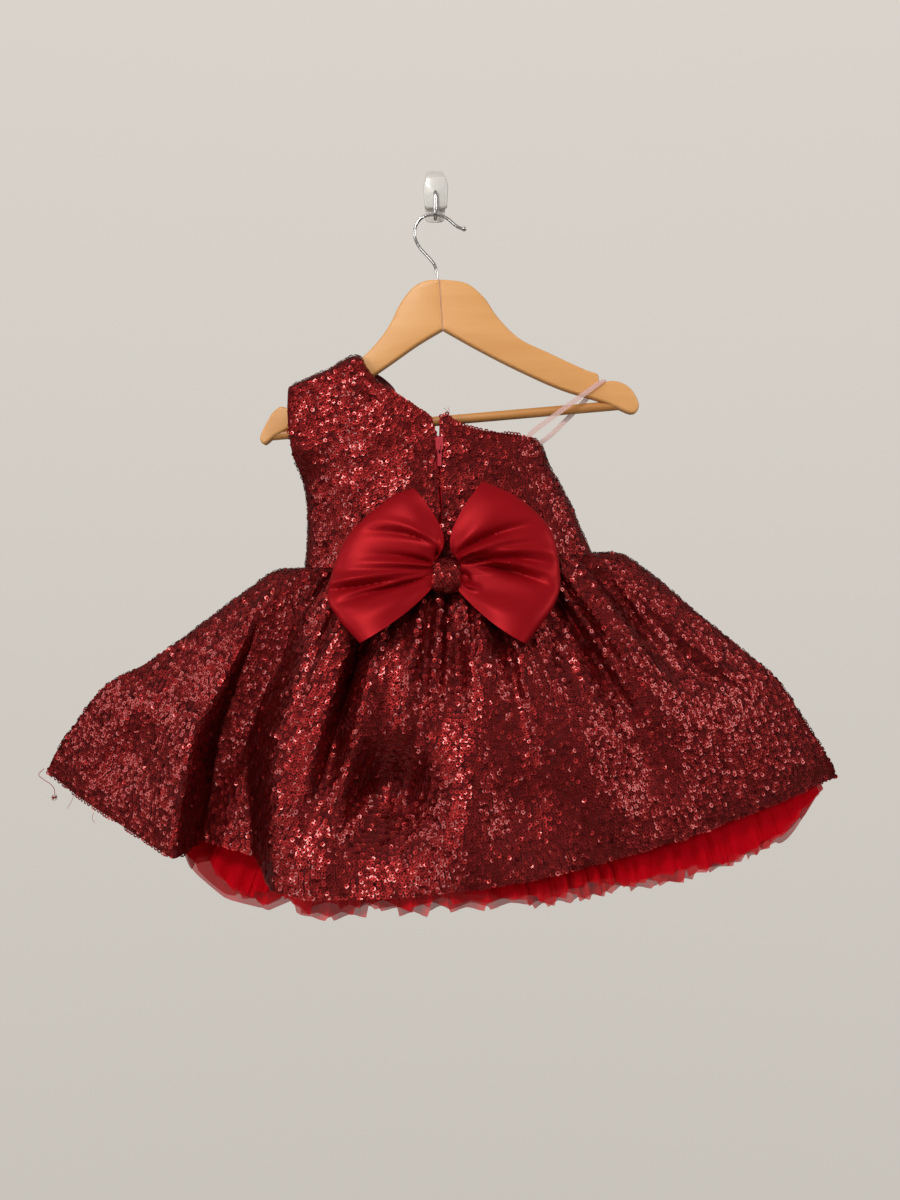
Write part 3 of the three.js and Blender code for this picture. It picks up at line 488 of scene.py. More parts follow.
def gatherAt(s, v):
    g = skirt["gathers"]
    fade = smoothStep(v, g["from"], g["full"]) * (1 - smoothStep(v, g["full"], g["to"]))
    place = 2 * math.pi * g["count"] * s
    wave = np.sin(place) + 0.5 * np.sin(0.62 * place + 1.3)
    return g["deep"] * fade * wave * np.sin(math.pi * s).clip(0) ** 0.3


def foldAt(s, v, widen=0, kind="folds"):
    depth = 0
    for top, hem, wide, deep, start, full, end, skew in skirt[kind]:
        away = s - between(top, hem, v**0.75)
        half = (wide + widen) * np.where(away < 0, skew, 2 - skew)
        flat = skirt["flatShare"] * smoothStep(v, skirt["flatFrom"], 1) * (deep > 50)
        across = 0.5 + 0.5 * np.cos(math.pi * np.clip((np.abs(away) / half - flat) / (1 - flat), 0, 1))
        depth = depth + deep * across * smoothStep(v, start, full) * (1 - smoothStep(v, full, end))
    return depth * smoothStep(s, 0, 0.08) * smoothStep(1 - s, 0, 0.06)


def pocketAt(s, v):
    depth = 0
    for across, down, wide, high, deep in skirt["pockets"]:
        depth = depth + deep * np.exp(-1.5 * ((s - across) / wide) ** 2 - 1.5 * ((v - down) / high) ** 2)
    return depth


# The skirt without its folds: a curve from the waist to the hem for each place across.
def skirtPath(isBack, s, v, layer):
    sides = roundSides(s)
    out = 2 * s - 1
    middle = np.sin(math.pi * s).clip(0)
    low, high = bodice["waist"]
    deep = -(bodice["backDepth"][0] - layer["waist"]) if isBack else bodice["frontDepth"][0] - layer["waist"]
    waist = np.column_stack([
        between(low[0] + layer["waist"], high[0] - layer["waist"], s),
        bodice["seamY"][0] + deep * sides,
        between(low[1], high[1], s) - bodice["gap"] - layer["drop"]])
    hem = readTable(skirt["hemBack"] if isBack else skirt["hemFront"], s)
    hem[:, 0] -= out * layer["inset"]
    hem[:, 1] += (1 if isBack else -1) * layer["inset"] * middle**0.5
    hem[:, 2] -= np.interp(s, *np.array(layer["below"]).T) + layer["lower"]
    reach = np.sign(out) * np.abs(out) ** 1.5
    puff, bend = skirt["puff"], skirt["bend"]
    first = waist.copy()
    first[:, 0] += reach * (puff["side"] - layer["inset"])
    inward = 0.5 * layer["inset"]
    first[:, 1] += (inward - puff["back"] if isBack else puff["front"] - inward) * middle
    first[:, 2] += puff["sideLift"] * np.abs(reach) - layer["droop"]
    second = between(waist, hem, bend["share"])
    up = np.where(out < 0, bend["leftUp"], bend["rightUp"])
    second[:, 2] += between(bend["backUp"], up, np.abs(reach)) - 0.4 * layer["droop"]
    if isBack:
        second[:, 1] -= bend["backOut"] * middle
    dents, away = skirt["dents"], skirt["dentReach"]
    dent = readTable(dents["left"], v) * (1 - smoothStep(s, 0, away))[:, None]
    dent = dent + readTable(dents["right"], v) * smoothStep(s, 1 - away, 1)[:, None]
    v = v[:, None]
    point = (1 - v) ** 3 * waist + 3 * (1 - v) ** 2 * v * first + 3 * (1 - v) * v**2 * second + v**3 * hem
    point[:, [0, 2]] += dent
    return point


# The cloth stays on its own side of the seams and meets the other side there.
def keepSide(point, plainY, isBack, a, b, layer, room):
    seamLine = skirtPath(isBack, np.zeros_like(b), b, layer)[:, 1]
    atSeam = (a < 1e-6) | (a > 1 - 1e-6)
    if isBack:
        y = np.minimum(point[:, 1], np.maximum(plainY, seamLine - room))
        y = np.minimum(y, seamLine - skirt["seamStep"])
        edge = seamLine - skirt["seamGap"]
    else:
        y = np.maximum(point[:, 1], seamLine + skirt["seamStep"])
        edge = seamLine + skirt["seamGap"]
    point[:, 1] = np.where(atSeam, edge, y)
    return point


# Closer together towards the side seams.
def sideSpacing(a):
    return between(a, 0.5 - 0.5 * np.cos(math.pi * a), 0.55)


def skirtBack(a, b):
    s = sideSpacing(a)
    point = skirtPath(True, s, b, plainLayer)
    plainY = point[:, 1].copy()
    fold = foldAt(s, b)
    size = skirt["soft"]
    soft = smoothStep(b, 0.05, 0.4) * smoothStep(s, 0, 0.1) * smoothStep(1 - s, 0, 0.1)
    soft = soft * size["deep"] * ripples(size["across"] * s, size["down"] * b, size["size"], 11)
    point[:, 1] += fold + foldAt(s, b, kind="creases") + pocketAt(s, b) - gatherAt(s, b) + soft
    point[:, 2] += skirt["foldLift"] * fold
    return keepSide(point, plainY, True, a, b, plainLayer, skirt["room"])


def skirtFront(a, b):
    s = sideSpacing(a)
    point = skirtPath(False, s, b, plainLayer)
    plainY = point[:, 1].copy()
    waves = skirt["frontWaves"]
    fade = smoothStep(b, 0.1, 0.8) * np.sin(math.pi * s).clip(0) ** 0.5
    point[:, 1] -= waves["deep"] * fade * (1 + np.cos(2 * math.pi * waves["count"] * s))
    return keepSide(point, plainY, False, a, b, plainLayer, skirt["room"])


def makeSkirt():
    parts = {}
    for name, columns, rows, place, outward, node in (
            ("skirtBackCloth", 280, 90, skirtBack, (0, -1, 0), "skirt_back"),
            ("skirtFrontCloth", 150, 50, skirtFront, (0, 1, 0), "skirt_front")):
        piece = clothGrid(name, columns, rows, place, outward)
        giveWall(piece, skirt["wall"], insideToo=True)
        finishPiece(piece, "sequin_cloth", meshCloth, meshCloth, replaces=[node])
        parts[name] = piece
    return parts


skirtParts = makeSkirt()
print("skirt made")

# The net petticoat: layers of gathered net with square-cut edges.
tulle = {
    "layer": {"waist": 2.6, "drop": 2.7, "inset": 12, "droop": 22},
    # How far it hangs below the hem, by the place across.
    "below": [
        (0, -4), (0.168, -4), (0.18, 24), (0.2, 32), (0.225, 42), (0.28, 43), (0.32, 27), (0.36, 18),
        (0.44, 12), (0.52, 17), (0.58, 21), (0.64, 24), (0.72, 28), (0.78, 32), (0.84, 40), (0.9, 46),
        (0.95, 42), (1, 16)],
    "widen": 0.036, "room": 5, "foldShare": 1.06, "pocketShare": 1.2, "flare": 1.1, "flareFrom": 0.86,
    "layers": [
        {"name": "Outer", "closer": 0, "lower": -5, "waves": 44, "ruffle": 3.2, "steps": 10, "seed": 3},
        {"name": "Middle", "closer": 3.5, "lower": -1, "waves": 38, "ruffle": 4.2, "steps": 12, "seed": 8},
        {"name": "Inner", "closer": 8, "lower": 2, "waves": 33, "ruffle": 4.4, "steps": 10, "seed": 14},
    ],
}


# The height of each pleat, from -1 to 1, and its number.
def pleats(a, waves, seed):
    marks = np.random.default_rng(seed).uniform(0.55, 1.45, waves)
    marks = np.concatenate([[0], np.cumsum(marks)]) / marks.sum()
    place = np.interp(a, marks, np.arange(waves + 1))
    wave = np.abs(2 * (place % 1) - 1) * 2 - 1
    return np.sign(wave) * np.abs(wave) ** 0.8, np.floor(place).astype(int)


def netPoint(isBack, spec, a, b):
    s = sideSpacing(a)
    layer = dict(tulle["layer"])
    layer["inset"] += spec["closer"]
    layer["waist"] += 0.2 * spec["closer"]
    layer["below"], layer["lower"] = tulle["below"], spec["lower"]
    point = skirtPath(isBack, s, b, layer)
    plainY = point[:, 1].copy()
    wave, number = pleats(a, spec["waves"] if isBack else spec["waves"] * 2 // 3, spec["seed"])
    fade = smoothStep(b, 0.1, 1) * np.sin(math.pi * s).clip(0) ** 0.5
    ruffle = spec["ruffle"] * fade * wave * (1 + tulle["flare"] * smoothStep(b, tulle["flareFrom"], 1))
    if isBack:
        fold = foldAt(s, b, tulle["widen"])
        point[:, 1] += tulle["foldShare"] * fold + tulle["pocketShare"] * pocketAt(s, b) - ruffle
        point[:, 2] += skirt["foldLift"] * fold
    else:
        point[:, 1] += 0.6 * ruffle - 3 * fade
    cut = np.random.default_rng(spec["seed"] + 1).uniform(-0.5, 0.5, 400)[number]
    ends = np.clip(20 * s, 0, 1) * np.clip(20 * (1 - s), 0, 1)
    point[:, 2] -= spec["steps"] * cut * smoothStep(b, 0.75, 1) * ends
    return keepSide(point, plainY, isBack, a, b, layer, tulle["room"])


def makeNet():
    parts = []
    for isBack, side, node in ((True, "Back", "tulle_back"), (False, "Front", "tulle_front")):
        for spec in tulle["layers"] if isBack else tulle["layers"][:2]:
            columns = 440 if isBack else 260
            piece = clothGrid(f"net{side}{spec['name']}", columns, 24,
                lambda a, b: netPoint(isBack, spec, a, b), (0, -1 if isBack else 1, 0))
            makeActive(piece)
            bpy.ops.object.shade_smooth_by_angle(angle=math.radians(30))
            finishPiece(piece, "tulle", net, replaces=[node])
            parts.append(piece)
    return parts


netParts = makeNet()
print("net made")

# One sequin is modelled and copied: a ring with a slight cup, sewn in wavy rows.
sequin = {
    "radius": 2.1, "rim": 1.2, "cup": 0.08, "sides": 8, "sizes": (0.94, 1.06), "lift": (0.35, 1.1),
    # Tilts in degrees: the usual spread, the share and spread of the loose ones, and the steepest.
    "tilt": 9, "loose": (0.09, 24), "steepest": 50,
    # The rows' waves, along and across with their length, and the scatter in shares of the spacing.
    "wave": (2.0, 1.5, 25), "scatter": (0.1, 0.08),
}


def modelSequin():
    clearSelection()
    radius = 0.001 * sequin["radius"]
    bpy.ops.mesh.primitive_circle_add(vertices=sequin["sides"], radius=radius, fill_type="NGON")
    ring = bpy.context.object
    bpy.ops.object.mode_set(mode="EDIT")
    bpy.ops.mesh.select_all(action="SELECT")
    bpy.ops.mesh.inset(thickness=0.001 * sequin["rim"], depth=-0.001 * sequin["cup"])
    bpy.ops.mesh.delete(type="FACE")
    bpy.ops.mesh.select_all(action="SELECT")
    bpy.ops.mesh.quads_convert_to_tris()
    bpy.ops.object.mode_set(mode="OBJECT")
    points = 1000 * readPoints(ring)
    faces = np.array([list(face.vertices) for face in ring.data.polygons])
    bpy.data.objects.remove(ring)
    return points, faces


ringPoints, ringFaces = modelSequin()


def readGrid(grid, i, j):
    left, low = np.clip(i.astype(int), 0, len(grid) - 2), np.clip(j.astype(int), 0, grid.shape[1] - 2)
    u, w = (i - left)[:, None], (j - low)[:, None]
    near = between(grid[left, low], grid[left + 1, low], u)
    far = between(grid[left, low + 1], grid[left + 1, low + 1], u)
    return between(near, far, w)


# Wavy rows of places on a surface, with the direction that faces out and the place across from 0 to 1.
# As many of the last rows are left bare as bare says.
def placesOn(surface, outward, spacing, rowSpacing, bare=0, columns=700, rows=260):
    a, b = np.meshgrid(np.linspace(0, 1, columns + 1), np.linspace(0, 1, rows + 1), indexing="ij")
    points = surface(a.ravel(), b.ravel()).reshape(columns + 1, rows + 1, 3)
    normals = unit(np.cross(np.gradient(points, axis=0), np.gradient(points, axis=1)))
    if (normals[..., 1].mean() < 0) != (outward < 0):
        normals = -normals
    climb = np.concatenate([[0], np.cumsum(np.linalg.norm(np.diff(points, axis=1), axis=2).mean(0))])
    count = max(2, round(climb[-1] / rowSpacing))
    sideways, upward, length = sequin["wave"]
    loose, uneven = sequin["scatter"]
    found = []
    for k in range(count + 1 - bare):
        row = np.interp(climb[-1] * k / count, climb, np.arange(rows + 1))
        line = readGrid(points, np.arange(columns + 1.0), np.full(columns + 1, row))
        run = np.concatenate([[0], np.cumsum(np.linalg.norm(np.diff(line, axis=0), axis=1))])
        number = max(2, int(run[-1] / spacing))
        along = run[-1] / number * (np.arange(number) + 0.25 + 0.5 * (k % 2))
        high = np.full(number, climb[-1] * k / count)
        shift = sideways * ripples(along, high, length, 31) + rng.normal(0, loose * spacing, number)
        high = high + upward * ripples(along, high, length, 32) + rng.normal(0, uneven * spacing, number)
        i = np.interp(np.clip(along + shift, 0, run[-1]), run, np.arange(columns + 1))
        j = np.interp(np.clip(high, 0, climb[-1]), climb, np.arange(rows + 1))
        found.append(np.hstack([readGrid(points, i, j), readGrid(normals, i, j), i[:, None] / columns]))
    found = np.vstack(found)
    return found[:, :3], unit(found[:, 3:6]), found[:, 6]


# Copies of the ring in one mesh of their own; the shares are those of the four tones, the last of which is a
# painted glint.
def copySequins(name, centres, normals, replaces=(), shares=(0.36, 0.44, 0.19, 0.01)):
    count = len(centres)
    side = unit(np.cross(normals, rng.normal(size=normals.shape)))
    loose, looseTilt = sequin["loose"]
    angles = rng.normal(0, 1, count) * np.where(rng.uniform(0, 1, count) < loose, looseTilt, sequin["tilt"])
    angles = angles.clip(-sequin["steepest"], sequin["steepest"])
    normals = unit(normals + side * np.tan(np.radians(angles))[:, None])
    side = unit(np.cross(normals, rng.normal(size=normals.shape)))
    axes = np.stack([side, np.cross(normals, side), normals], axis=1)
    middle = centres + normals * rng.uniform(*sequin["lift"], count)[:, None]
    size = rng.uniform(*sequin["sizes"], count)
    points = middle[:, None] + np.einsum("kc,nce->nke", ringPoints, axes) * size[:, None, None]
    faces = (ringFaces[None] + len(ringPoints) * np.arange(count)[:, None, None]).reshape(-1, 3)
    mesh = bpy.data.meshes.new(name)
    mesh.vertices.add(points.size // 3)
    mesh.loops.add(faces.size)
    mesh.polygons.add(len(faces))
    mesh.vertices.foreach_set("co", (0.001 * points).ravel())
    mesh.loops.foreach_set("vertex_index", faces.ravel())
    mesh.polygons.foreach_set("loop_start", np.arange(0, faces.size, 3))
    mesh.polygons.foreach_set("loop_total", np.full(len(faces), 3))
    tones = rng.choice(len(shares), count, p=shares)
    mesh.polygons.foreach_set("material_index", np.repeat(tones, len(ringFaces)))
    mesh.update(calc_edges=True)
    piece = bpy.data.objects.new(name, mesh)
    bpy.context.collection.objects.link(piece)
    finishPiece(piece, "sequin_cloth", *sequinTones, replaces=replaces)
    print(name, count, "sequins", len(faces), "triangles")
    return piece


# A wide cloth has its sequins in several pieces, side by side.
def sewSequins():
    pieces = {}
    for part, surface, outward, spacing, rowSpacing, bare, cuts in (
            ("bodiceBackLeft", leftBack, -1, 3.5, 3.15, 0, 1),
            ("bodiceBackRight", rightBack, -1, 3.5, 3.15, 0, 1),
            ("bodiceFront", bodiceFront, 1, 4.1, 3.9, 2, 1),
            ("skirtBack", skirtBack, -1, 3.55, 3.2, 0, 3),
            ("skirtFront", skirtFront, 1, 4.6, 4.2, 0, 2)):
        centres, normals, across = placesOn(surface, outward, spacing, rowSpacing, bare)
        pieces[part] = []
        for k in range(cuts):
            chosen = (across >= k / cuts) & ((across < (k + 1) / cuts) | (k == cuts - 1))
            name = f"{part}Sequins" + (str(k + 1) if cuts > 1 else "")
            pieces[part].append(copySequins(name, centres[chosen], normals[chosen]))
    return pieces


sequinParts = sewSequins()

# The bow: two satin loops and a knot.
bow = {
    "x": 10.7, "y": -83, "z": -362.3, "tilt": -0.46, "wide": 21.6, "high": 31, "deep": 17, "wall": 0.9,
    "lean": (0.2, 0.5), "thin": 2.6, "grow": 9.6, "crisp": 2.0,
}
loops = {
    "bowLoopLeft": {
        "inner": [(-0.5, -372), (-0.8, -348)], "top": (8, -326), "bottom": (-27, -397),
        "outer": [(0, -62.7, -420.2), (0.16, -82, -399), (0.32, -91.7, -376.7), (0.6, -77.6, -330.3),
                  (0.84, -41.6, -295.1), (1, -18.2, -284.2)],
        # Folds: place at the knot and at the rim, sideways bow, width, height, start, peak, end.
        "folds": [
            (0.86, 0.84, 0.0, 0.10, 2.6, 0.0, 0.5, 1.1), (0.97, 0.97, 0.0, 0.05, 4.0, 0.05, 0.25, 0.55),
            (0.89, 0.91, 0.0, 0.03, -4.0, 0.0, 0.14, 0.4), (0.92, 0.64, 0.05, 0.024, -3.6, 0.3, 0.6, 1.0),
            (0.9, 0.71, 0.04, 0.04, 2.4, 0.25, 0.6, 1.05), (0.78, 0.52, 0.0, 0.02, -3.4, 0.0, 0.3, 0.85),
            (0.7, 0.46, 0.0, 0.035, 3.0, 0.0, 0.35, 1.05), (0.5, 0.33, 0.0, 0.022, -3.0, 0.35, 0.8, 1.1),
            (0.58, 0.385, 0.0, 0.032, 3.0, 0.2, 0.8, 1.15), (0.44, 0.25, 0.0, 0.026, -4.8, 0.02, 0.45, 1.05),
            (0.2, 0.12, 0.0, 0.11, 2.2, 0.0, 0.5, 1.1)],
    },
    "bowLoopRight": {
        "inner": [(21.9, -376), (22.2, -348)], "top": (15.5, -324), "bottom": (49, -402),
        "outer": [(0, 79, -420.8), (0.2, 104, -388), (0.38, 110.2, -362.1), (0.62, 102.8, -322.2),
                  (0.82, 75, -293.4), (1, 43.4, -278)],
        "folds": [
            (0.86, 0.84, 0.0, 0.09, 2.8, 0.0, 0.45, 1.1), (0.95, 0.67, 0.0, 0.024, -4.2, 0.05, 0.5, 1.05),
            (0.88, 0.61, 0.0, 0.035, 3.2, 0.05, 0.5, 1.0), (0.9, 0.5, 0.0, 0.03, 3.4, 0.0, 0.5, 1.1),
            (0.84, 0.55, 0.0, 0.018, -2.6, 0.0, 0.35, 0.8), (0.81, 0.44, 0.0, 0.022, -4.2, 0.0, 0.5, 1.05),
            (0.75, 0.36, 0.05, 0.035, 3.2, 0.25, 0.6, 1.0), (0.7, 0.28, 0.05, 0.032, -4.8, 0.25, 0.6, 1.0),
            (0.45, 0.4, 0.0, 0.1, -5.0, 0.0, 0.07, 0.22), (0.3, 0.3, 0.0, 0.07, 3.0, 0.03, 0.12, 0.3),
            (0.12, 0.12, 0.0, 0.11, 2.2, 0.0, 0.5, 1.1)],
    },
}


def sweepLine(start, through, end, q):
    start, through, end = (np.array(p, float) for p in (start, through, end))
    bendPoint = 2 * through - 0.5 * (start + end)
    q = q[:, None]
    return (1 - q) ** 2 * start + 2 * (1 - q) * q * bendPoint + q**2 * end


def loopPoint(loop, a, b):
    q = np.sin(math.pi * a).clip(0, 1)
    lowEnd, highEnd = readTable(loop["outer"], [0.0, 1.0])
    lower = sweepLine(loop["inner"][0], loop["bottom"], lowEnd, q)
    upper = sweepLine(loop["inner"][1], loop["top"], highEnd, q)
    across = between(lower, upper, b[:, None])
    across = across + q[:, None] * (readTable(loop["outer"], b) - between(lowEnd, highEnd, b[:, None]))
    x, z = across[:, 0], across[:, 1]
    lean = np.where(z > bow["z"], *bow["lean"])
    inFront = a <= 0.5
    half = (bow["thin"] + bow["grow"] * q) * np.sqrt(np.maximum(0, 1 - q**6))
    ridge = 0
    for atKnot, atRim, sideways, width, height, start, peak, end in loop["folds"]:
        place = between(atKnot, atRim, q) + sideways * np.sin(math.pi * q)
        away = np.abs(b - place) / width
        shape = np.exp(-away**2) if height > 0 else np.exp(-(0.85 * away) ** 1.6)
        shape = shape * smoothStep(q, start, peak) * (1 - smoothStep(q, peak, end))
        ridge = ridge + bow["crisp"] * height * shape
    ridge = np.maximum(ridge, -1.2 * half)
    y = bow["y"] + lean * (z - bow["z"]) + np.where(inFront, -half - ridge, half)
    return np.column_stack([x, y, z])


def makeBow():
    parts = []
    for name, node in (("bowLoopLeft", "bow_loop_left"), ("bowLoopRight", "bow_loop_right")):
        piece = clothGrid(name, 110, 96, lambda a, b: loopPoint(loops[name], a, b), None)
        giveWall(piece, bow["wall"])
        finishPiece(piece, "satin", satin, replaces=[node])
        parts.append(piece)
    return parts


# Here a goes round the band and b across it.
def knotPoint(a, b):
    turn = 2 * math.pi * a
    across = 2 * b - 1
    pinch = 1 - 0.08 * np.abs(across) ** 4
    high = 0.5 * bow["high"] * pinch * np.sign(np.sin(turn)) * np.abs(np.sin(turn)) ** 0.8
    deep = 0.5 * bow["deep"] * pinch * np.sign(np.cos(turn)) * np.abs(np.cos(turn)) ** 0.75
    x = bow["x"] + 0.5 * bow["wide"] * across * (1 - 0.06 * np.cos(turn) ** 2)
    y = bow["y"] - deep * math.cos(bow["tilt"]) - high * math.sin(bow["tilt"])
    z = bow["z"] - deep * math.sin(bow["tilt"]) + high * math.cos(bow["tilt"])
    return np.column_stack([x, y, z])


def makeKnot():
    piece = clothGrid("bowKnotCloth", 64, 20, knotPoint, None)
    editWhole(piece, bpy.ops.mesh.remove_doubles, threshold=0.00002)
    editWhole(piece, bpy.ops.mesh.normals_make_consistent, inside=False)
    giveWall(piece, bow["wall"])
    finishPiece(piece, "sequin_cloth", meshCloth, replaces=["bow_knot"])
    centres, normals, _ = placesOn(lambda a, b: knotPoint(b, a), -1, 2.7, 2.5, 0, 60, 260)
    middle = centres - np.array([bow["x"], bow["y"], bow["z"]])
    normals = normals * np.sign((normals * middle).sum(1))[:, None]
    rings = copySequins("bowKnotSequins", centres, normals, shares=(0.7, 0.26, 0.035, 0.005))
    return piece, rings


bowParts = makeBow()
knotCloth, knotSequins = makeKnot()
print("bow made")


# A closed solid through rings of points, each extruded from the last.
def stackRings(name, rings):
    clearSelection()
    rings = [0.001 * np.asarray(ring, float) for ring in rings]
    bpy.ops.mesh.primitive_circle_add(vertices=len(rings[0]), radius=1, fill_type="NGON")
    piece = bpy.context.object
    piece.name = piece.data.name = name
    last = rings[0]
    writePoints(piece, last)
    for ring in rings[1:]:
        bpy.ops.object.mode_set(mode="EDIT")
        bpy.ops.mesh.extrude_region_move()
        bpy.ops.object.mode_set(mode="OBJECT")
        points = readPoints(piece)
        chosen = np.array([vertex.select for vertex in piece.data.vertices])
        match = np.linalg.norm(points[chosen][:, None] - last[None], axis=2).argmin(1)
        points[chosen] = ring[match]
        writePoints(piece, points)
        last = ring
    editWhole(piece, bpy.ops.mesh.normals_make_consistent, inside=False)
    return piece


def sweepWire(name, path, radius, sides=14):
    path = np.asarray(path, float)
    along = unit(np.gradient(path, axis=0))
    across = unit(np.cross(along[0], (0.13, 1, 0.07)))
    turn = 2 * math.pi * np.arange(sides) / sides
    rings = []
    for centre, ahead, thick in zip(path, along, np.broadcast_to(radius, len(path))):
        across = unit(across - ahead * across.dot(ahead))
        other = np.cross(ahead, across)
        rings.append(centre + thick * (np.cos(turn)[:, None] * across + np.sin(turn)[:, None] * other))
    piece = stackRings(name, rings)
    bpy.ops.object.shade_smooth_by_angle(angle=math.radians(40))
    return piece


def joinPieces(first, *others):
    clearSelection()
    for piece in (first, *others):
        piece.select_set(True)
    bpy.context.view_layer.objects.active = first
    bpy.ops.object.join()
    return first


# The hanger: two wooden arms, a bar and a wire hook. The seam between the arms leans from its foot up.
hanger = {
    "thick": 12, "ridgeY": -20, "tipY": -14, "reach": 165, "bevel": 2.6, "gap": 0.3,
    "seam": (7.5, 4.5), "seamFoot": -134.6, "seamHigh": 46.1, "seamBevel": 0.12,
    "left": [
        (4.5, -88.5), (-8, -89.4), (-19.1, -94.9), (-31.4, -109.7), (-41.2, -129), (-51.4, -143.8),
        (-70.8, -162.8), (-124.2, -194.8), (-130.7, -200.1), (-135.3, -205.6), (-142.7, -204.7),
        (-150.1, -210.2), (-154.9, -218.2), (-161.8, -233.3), (-160.2, -238.2), (-157.4, -239.7),
        (-147.3, -231.9), (-133.5, -224), (-56, -176.1), (-13.6, -147), (7.5, -134.6)],
    "right": [
        (4.5, -88.5), (18.7, -89.4), (30.4, -92.2), (45.5, -104.6), (57.4, -121.7), (77.4, -141.7),
        (104.5, -154.9), (141.4, -171.5), (151, -175), (152.8, -181.6), (166.3, -180.7), (177.9, -184.9),
        (185.4, -193.3), (189.2, -203.8), (186.6, -209.7), (182, -211.1), (159.8, -201.9), (116.9, -188.6),
        (79.6, -172.4), (42.7, -154), (7.5, -134.6)],
    "bar": [(-154, -14, -231.2), (174, -14, -202.5)], "barRadius": 4.5,
    "wireY": -18, "wireRadius": 1.4, "ball": 2.2,
    "wire": [
        (2, -88), (1.5, -79.5), (-0.2, -73.5), (-3.5, -68.9), (-8.7, -63.3), (-13.9, -57.4), (-17.9, -49.5),
        (-18.6, -42.1), (-16.6, -35.3), (-12.2, -30), (-6, -27.5), (1, -27.3), (7.3, -28.2), (13.5, -31.9),
        (18.7, -36.5), (23.4, -39.3), (27.1, -40.2)],
}


# A curve through uneven points, which stays close to them.
def smoothOutline(points, spacing):
    points = np.asarray(points, float)
    longer = np.vstack([2 * points[0] - points[1], points, 2 * points[-1] - points[-2]])
    found = []
    for p0, p1, p2, p3 in zip(longer, longer[1:], longer[2:], longer[3:]):
        d0, d1, d2 = (max(np.linalg.norm(q - p), 1e-6) ** 0.5 for p, q in ((p0, p1), (p1, p2), (p2, p3)))
        leave = ((p1 - p0) / d0 - (p2 - p0) / (d0 + d1) + (p2 - p1) / d1) * d1
        arrive = ((p2 - p1) / d1 - (p3 - p1) / (d1 + d2) + (p3 - p2) / d2) * d1
        steps = max(1, round(np.linalg.norm(p2 - p1) / spacing))
        w = (np.arange(steps) / steps)[:, None]
        square = 3 * (p2 - p1) - 2 * leave - arrive
        found.append(p1 + w * leave + w**2 * square + w**3 * (2 * (p1 - p2) + leave + arrive))
    return np.vstack([*found, points[-1:]])


# Sections through an arm from its front to its back, with rounded edges.
def armRings(outline, sign):
    points = smoothOutline(outline, 2.6)
    straight = np.linspace(points[-1], points[0], 14)[1:-1]
    points = np.vstack([points, straight])
    along = unit(np.roll(points, -1, axis=0) - np.roll(points, 1, axis=0))
    inward = np.column_stack([-along[:, 1], along[:, 0]])
    area = 0.5 * np.sum(points[:, 0] * np.roll(points[:, 1], -1) - points[:, 1] * np.roll(points[:, 0], -1))
    inward = inward * np.sign(area)
    bevel, half = hanger["bevel"], hanger["thick"] / 2
    turns = np.radians([90, 68, 45, 22, 0])
    sections = [(1 - math.cos(t), half - bevel + bevel * math.sin(t)) for t in turns]
    sections += [(inset, -y) for inset, y in reversed(sections)]
    rings = []
    for inset, y in sections:
        flat = points + inward * bevel * inset
        seam = between(*hanger["seam"], (flat[:, 1] - hanger["seamFoot"]) / hanger["seamHigh"])
        limit = seam + sign * (hanger["gap"] / 2 + hanger["seamBevel"] * inset)
        x = np.maximum(flat[:, 0], limit) if sign > 0 else np.minimum(flat[:, 0], limit)
        away = np.clip(np.abs(x - seam) / hanger["reach"], 0, 1)
        centre = between(hanger["ridgeY"], hanger["tipY"], away)
        rings.append(np.column_stack([x, centre + y, flat[:, 1]]))
    return rings


def makeHanger():
    for name, side, sign, node in (("hangerArmLeft", "left", -1, "hanger_arm_left"),
                                   ("hangerArmRight", "right", 1, "hanger_arm_right")):
        arm = stackRings(name, armRings(hanger[side], sign))
        bpy.ops.object.shade_smooth_by_angle(angle=math.radians(35))
        finishPiece(arm, "wood", wood, replaces=[node])
    ends = np.array(hanger["bar"], float)
    line = between(ends[0], ends[1], np.linspace(0, 1, 6)[:, None])
    bar = sweepWire("hangerBar", line, hanger["barRadius"], 28)
    finishPiece(bar, "bar_wood", barWood, replaces=["hanger_bar"])
    flat = smoothOutline(hanger["wire"], 1.8)
    line = np.column_stack([flat[:, 0], np.full(len(flat), hanger["wireY"]), flat[:, 1]])
    hook = sweepWire("hangerHook", line, hanger["wireRadius"])
    clearSelection()
    tip, radius = tuple(0.001 * line[-1]), 0.001 * hanger["ball"]
    bpy.ops.mesh.primitive_uv_sphere_add(segments=20, ring_count=12, radius=radius, location=tip)
    ball = bpy.context.object
    bpy.ops.object.transform_apply(location=True, rotation=True, scale=True)
    bpy.ops.object.shade_smooth()
    hook = joinPieces(hook, ball)
    finishPiece(hook, "chrome", chrome, replaces=["hanger_hook"])


makeHanger()
print("hanger made")

# The wall hook: a faceted cover, each section a share of its outline at a height, and a bent wire.
wallHook = {
    "coverFrom": -1.8, "bevel": 0.6, "wireX": 0.5, "wireRadius": 1.7,
    "outline": [
        (-9.3, 12.7), (10.3, 12.7), (12.3, 4), (11.3, -15.5), (9, -17.3), (-7.6, -17.3), (-9.6, -15.5),
        (-11.2, 4)],
    "sections": [(1, 0), (1, 3.4), (0.97, 4.3), (0.9, 5.0), (0.5, 5.8), (0.04, 6.4)],
    "wire": [(-8.9, -3), (-11.2, -3.6), (-12.7, -6.6), (-13, -11), (-13, -24), (-14.4, -28.6), (-18, -30.7),
             (-21.6, -28.6), (-23, -24), (-23, -15.3)],
}


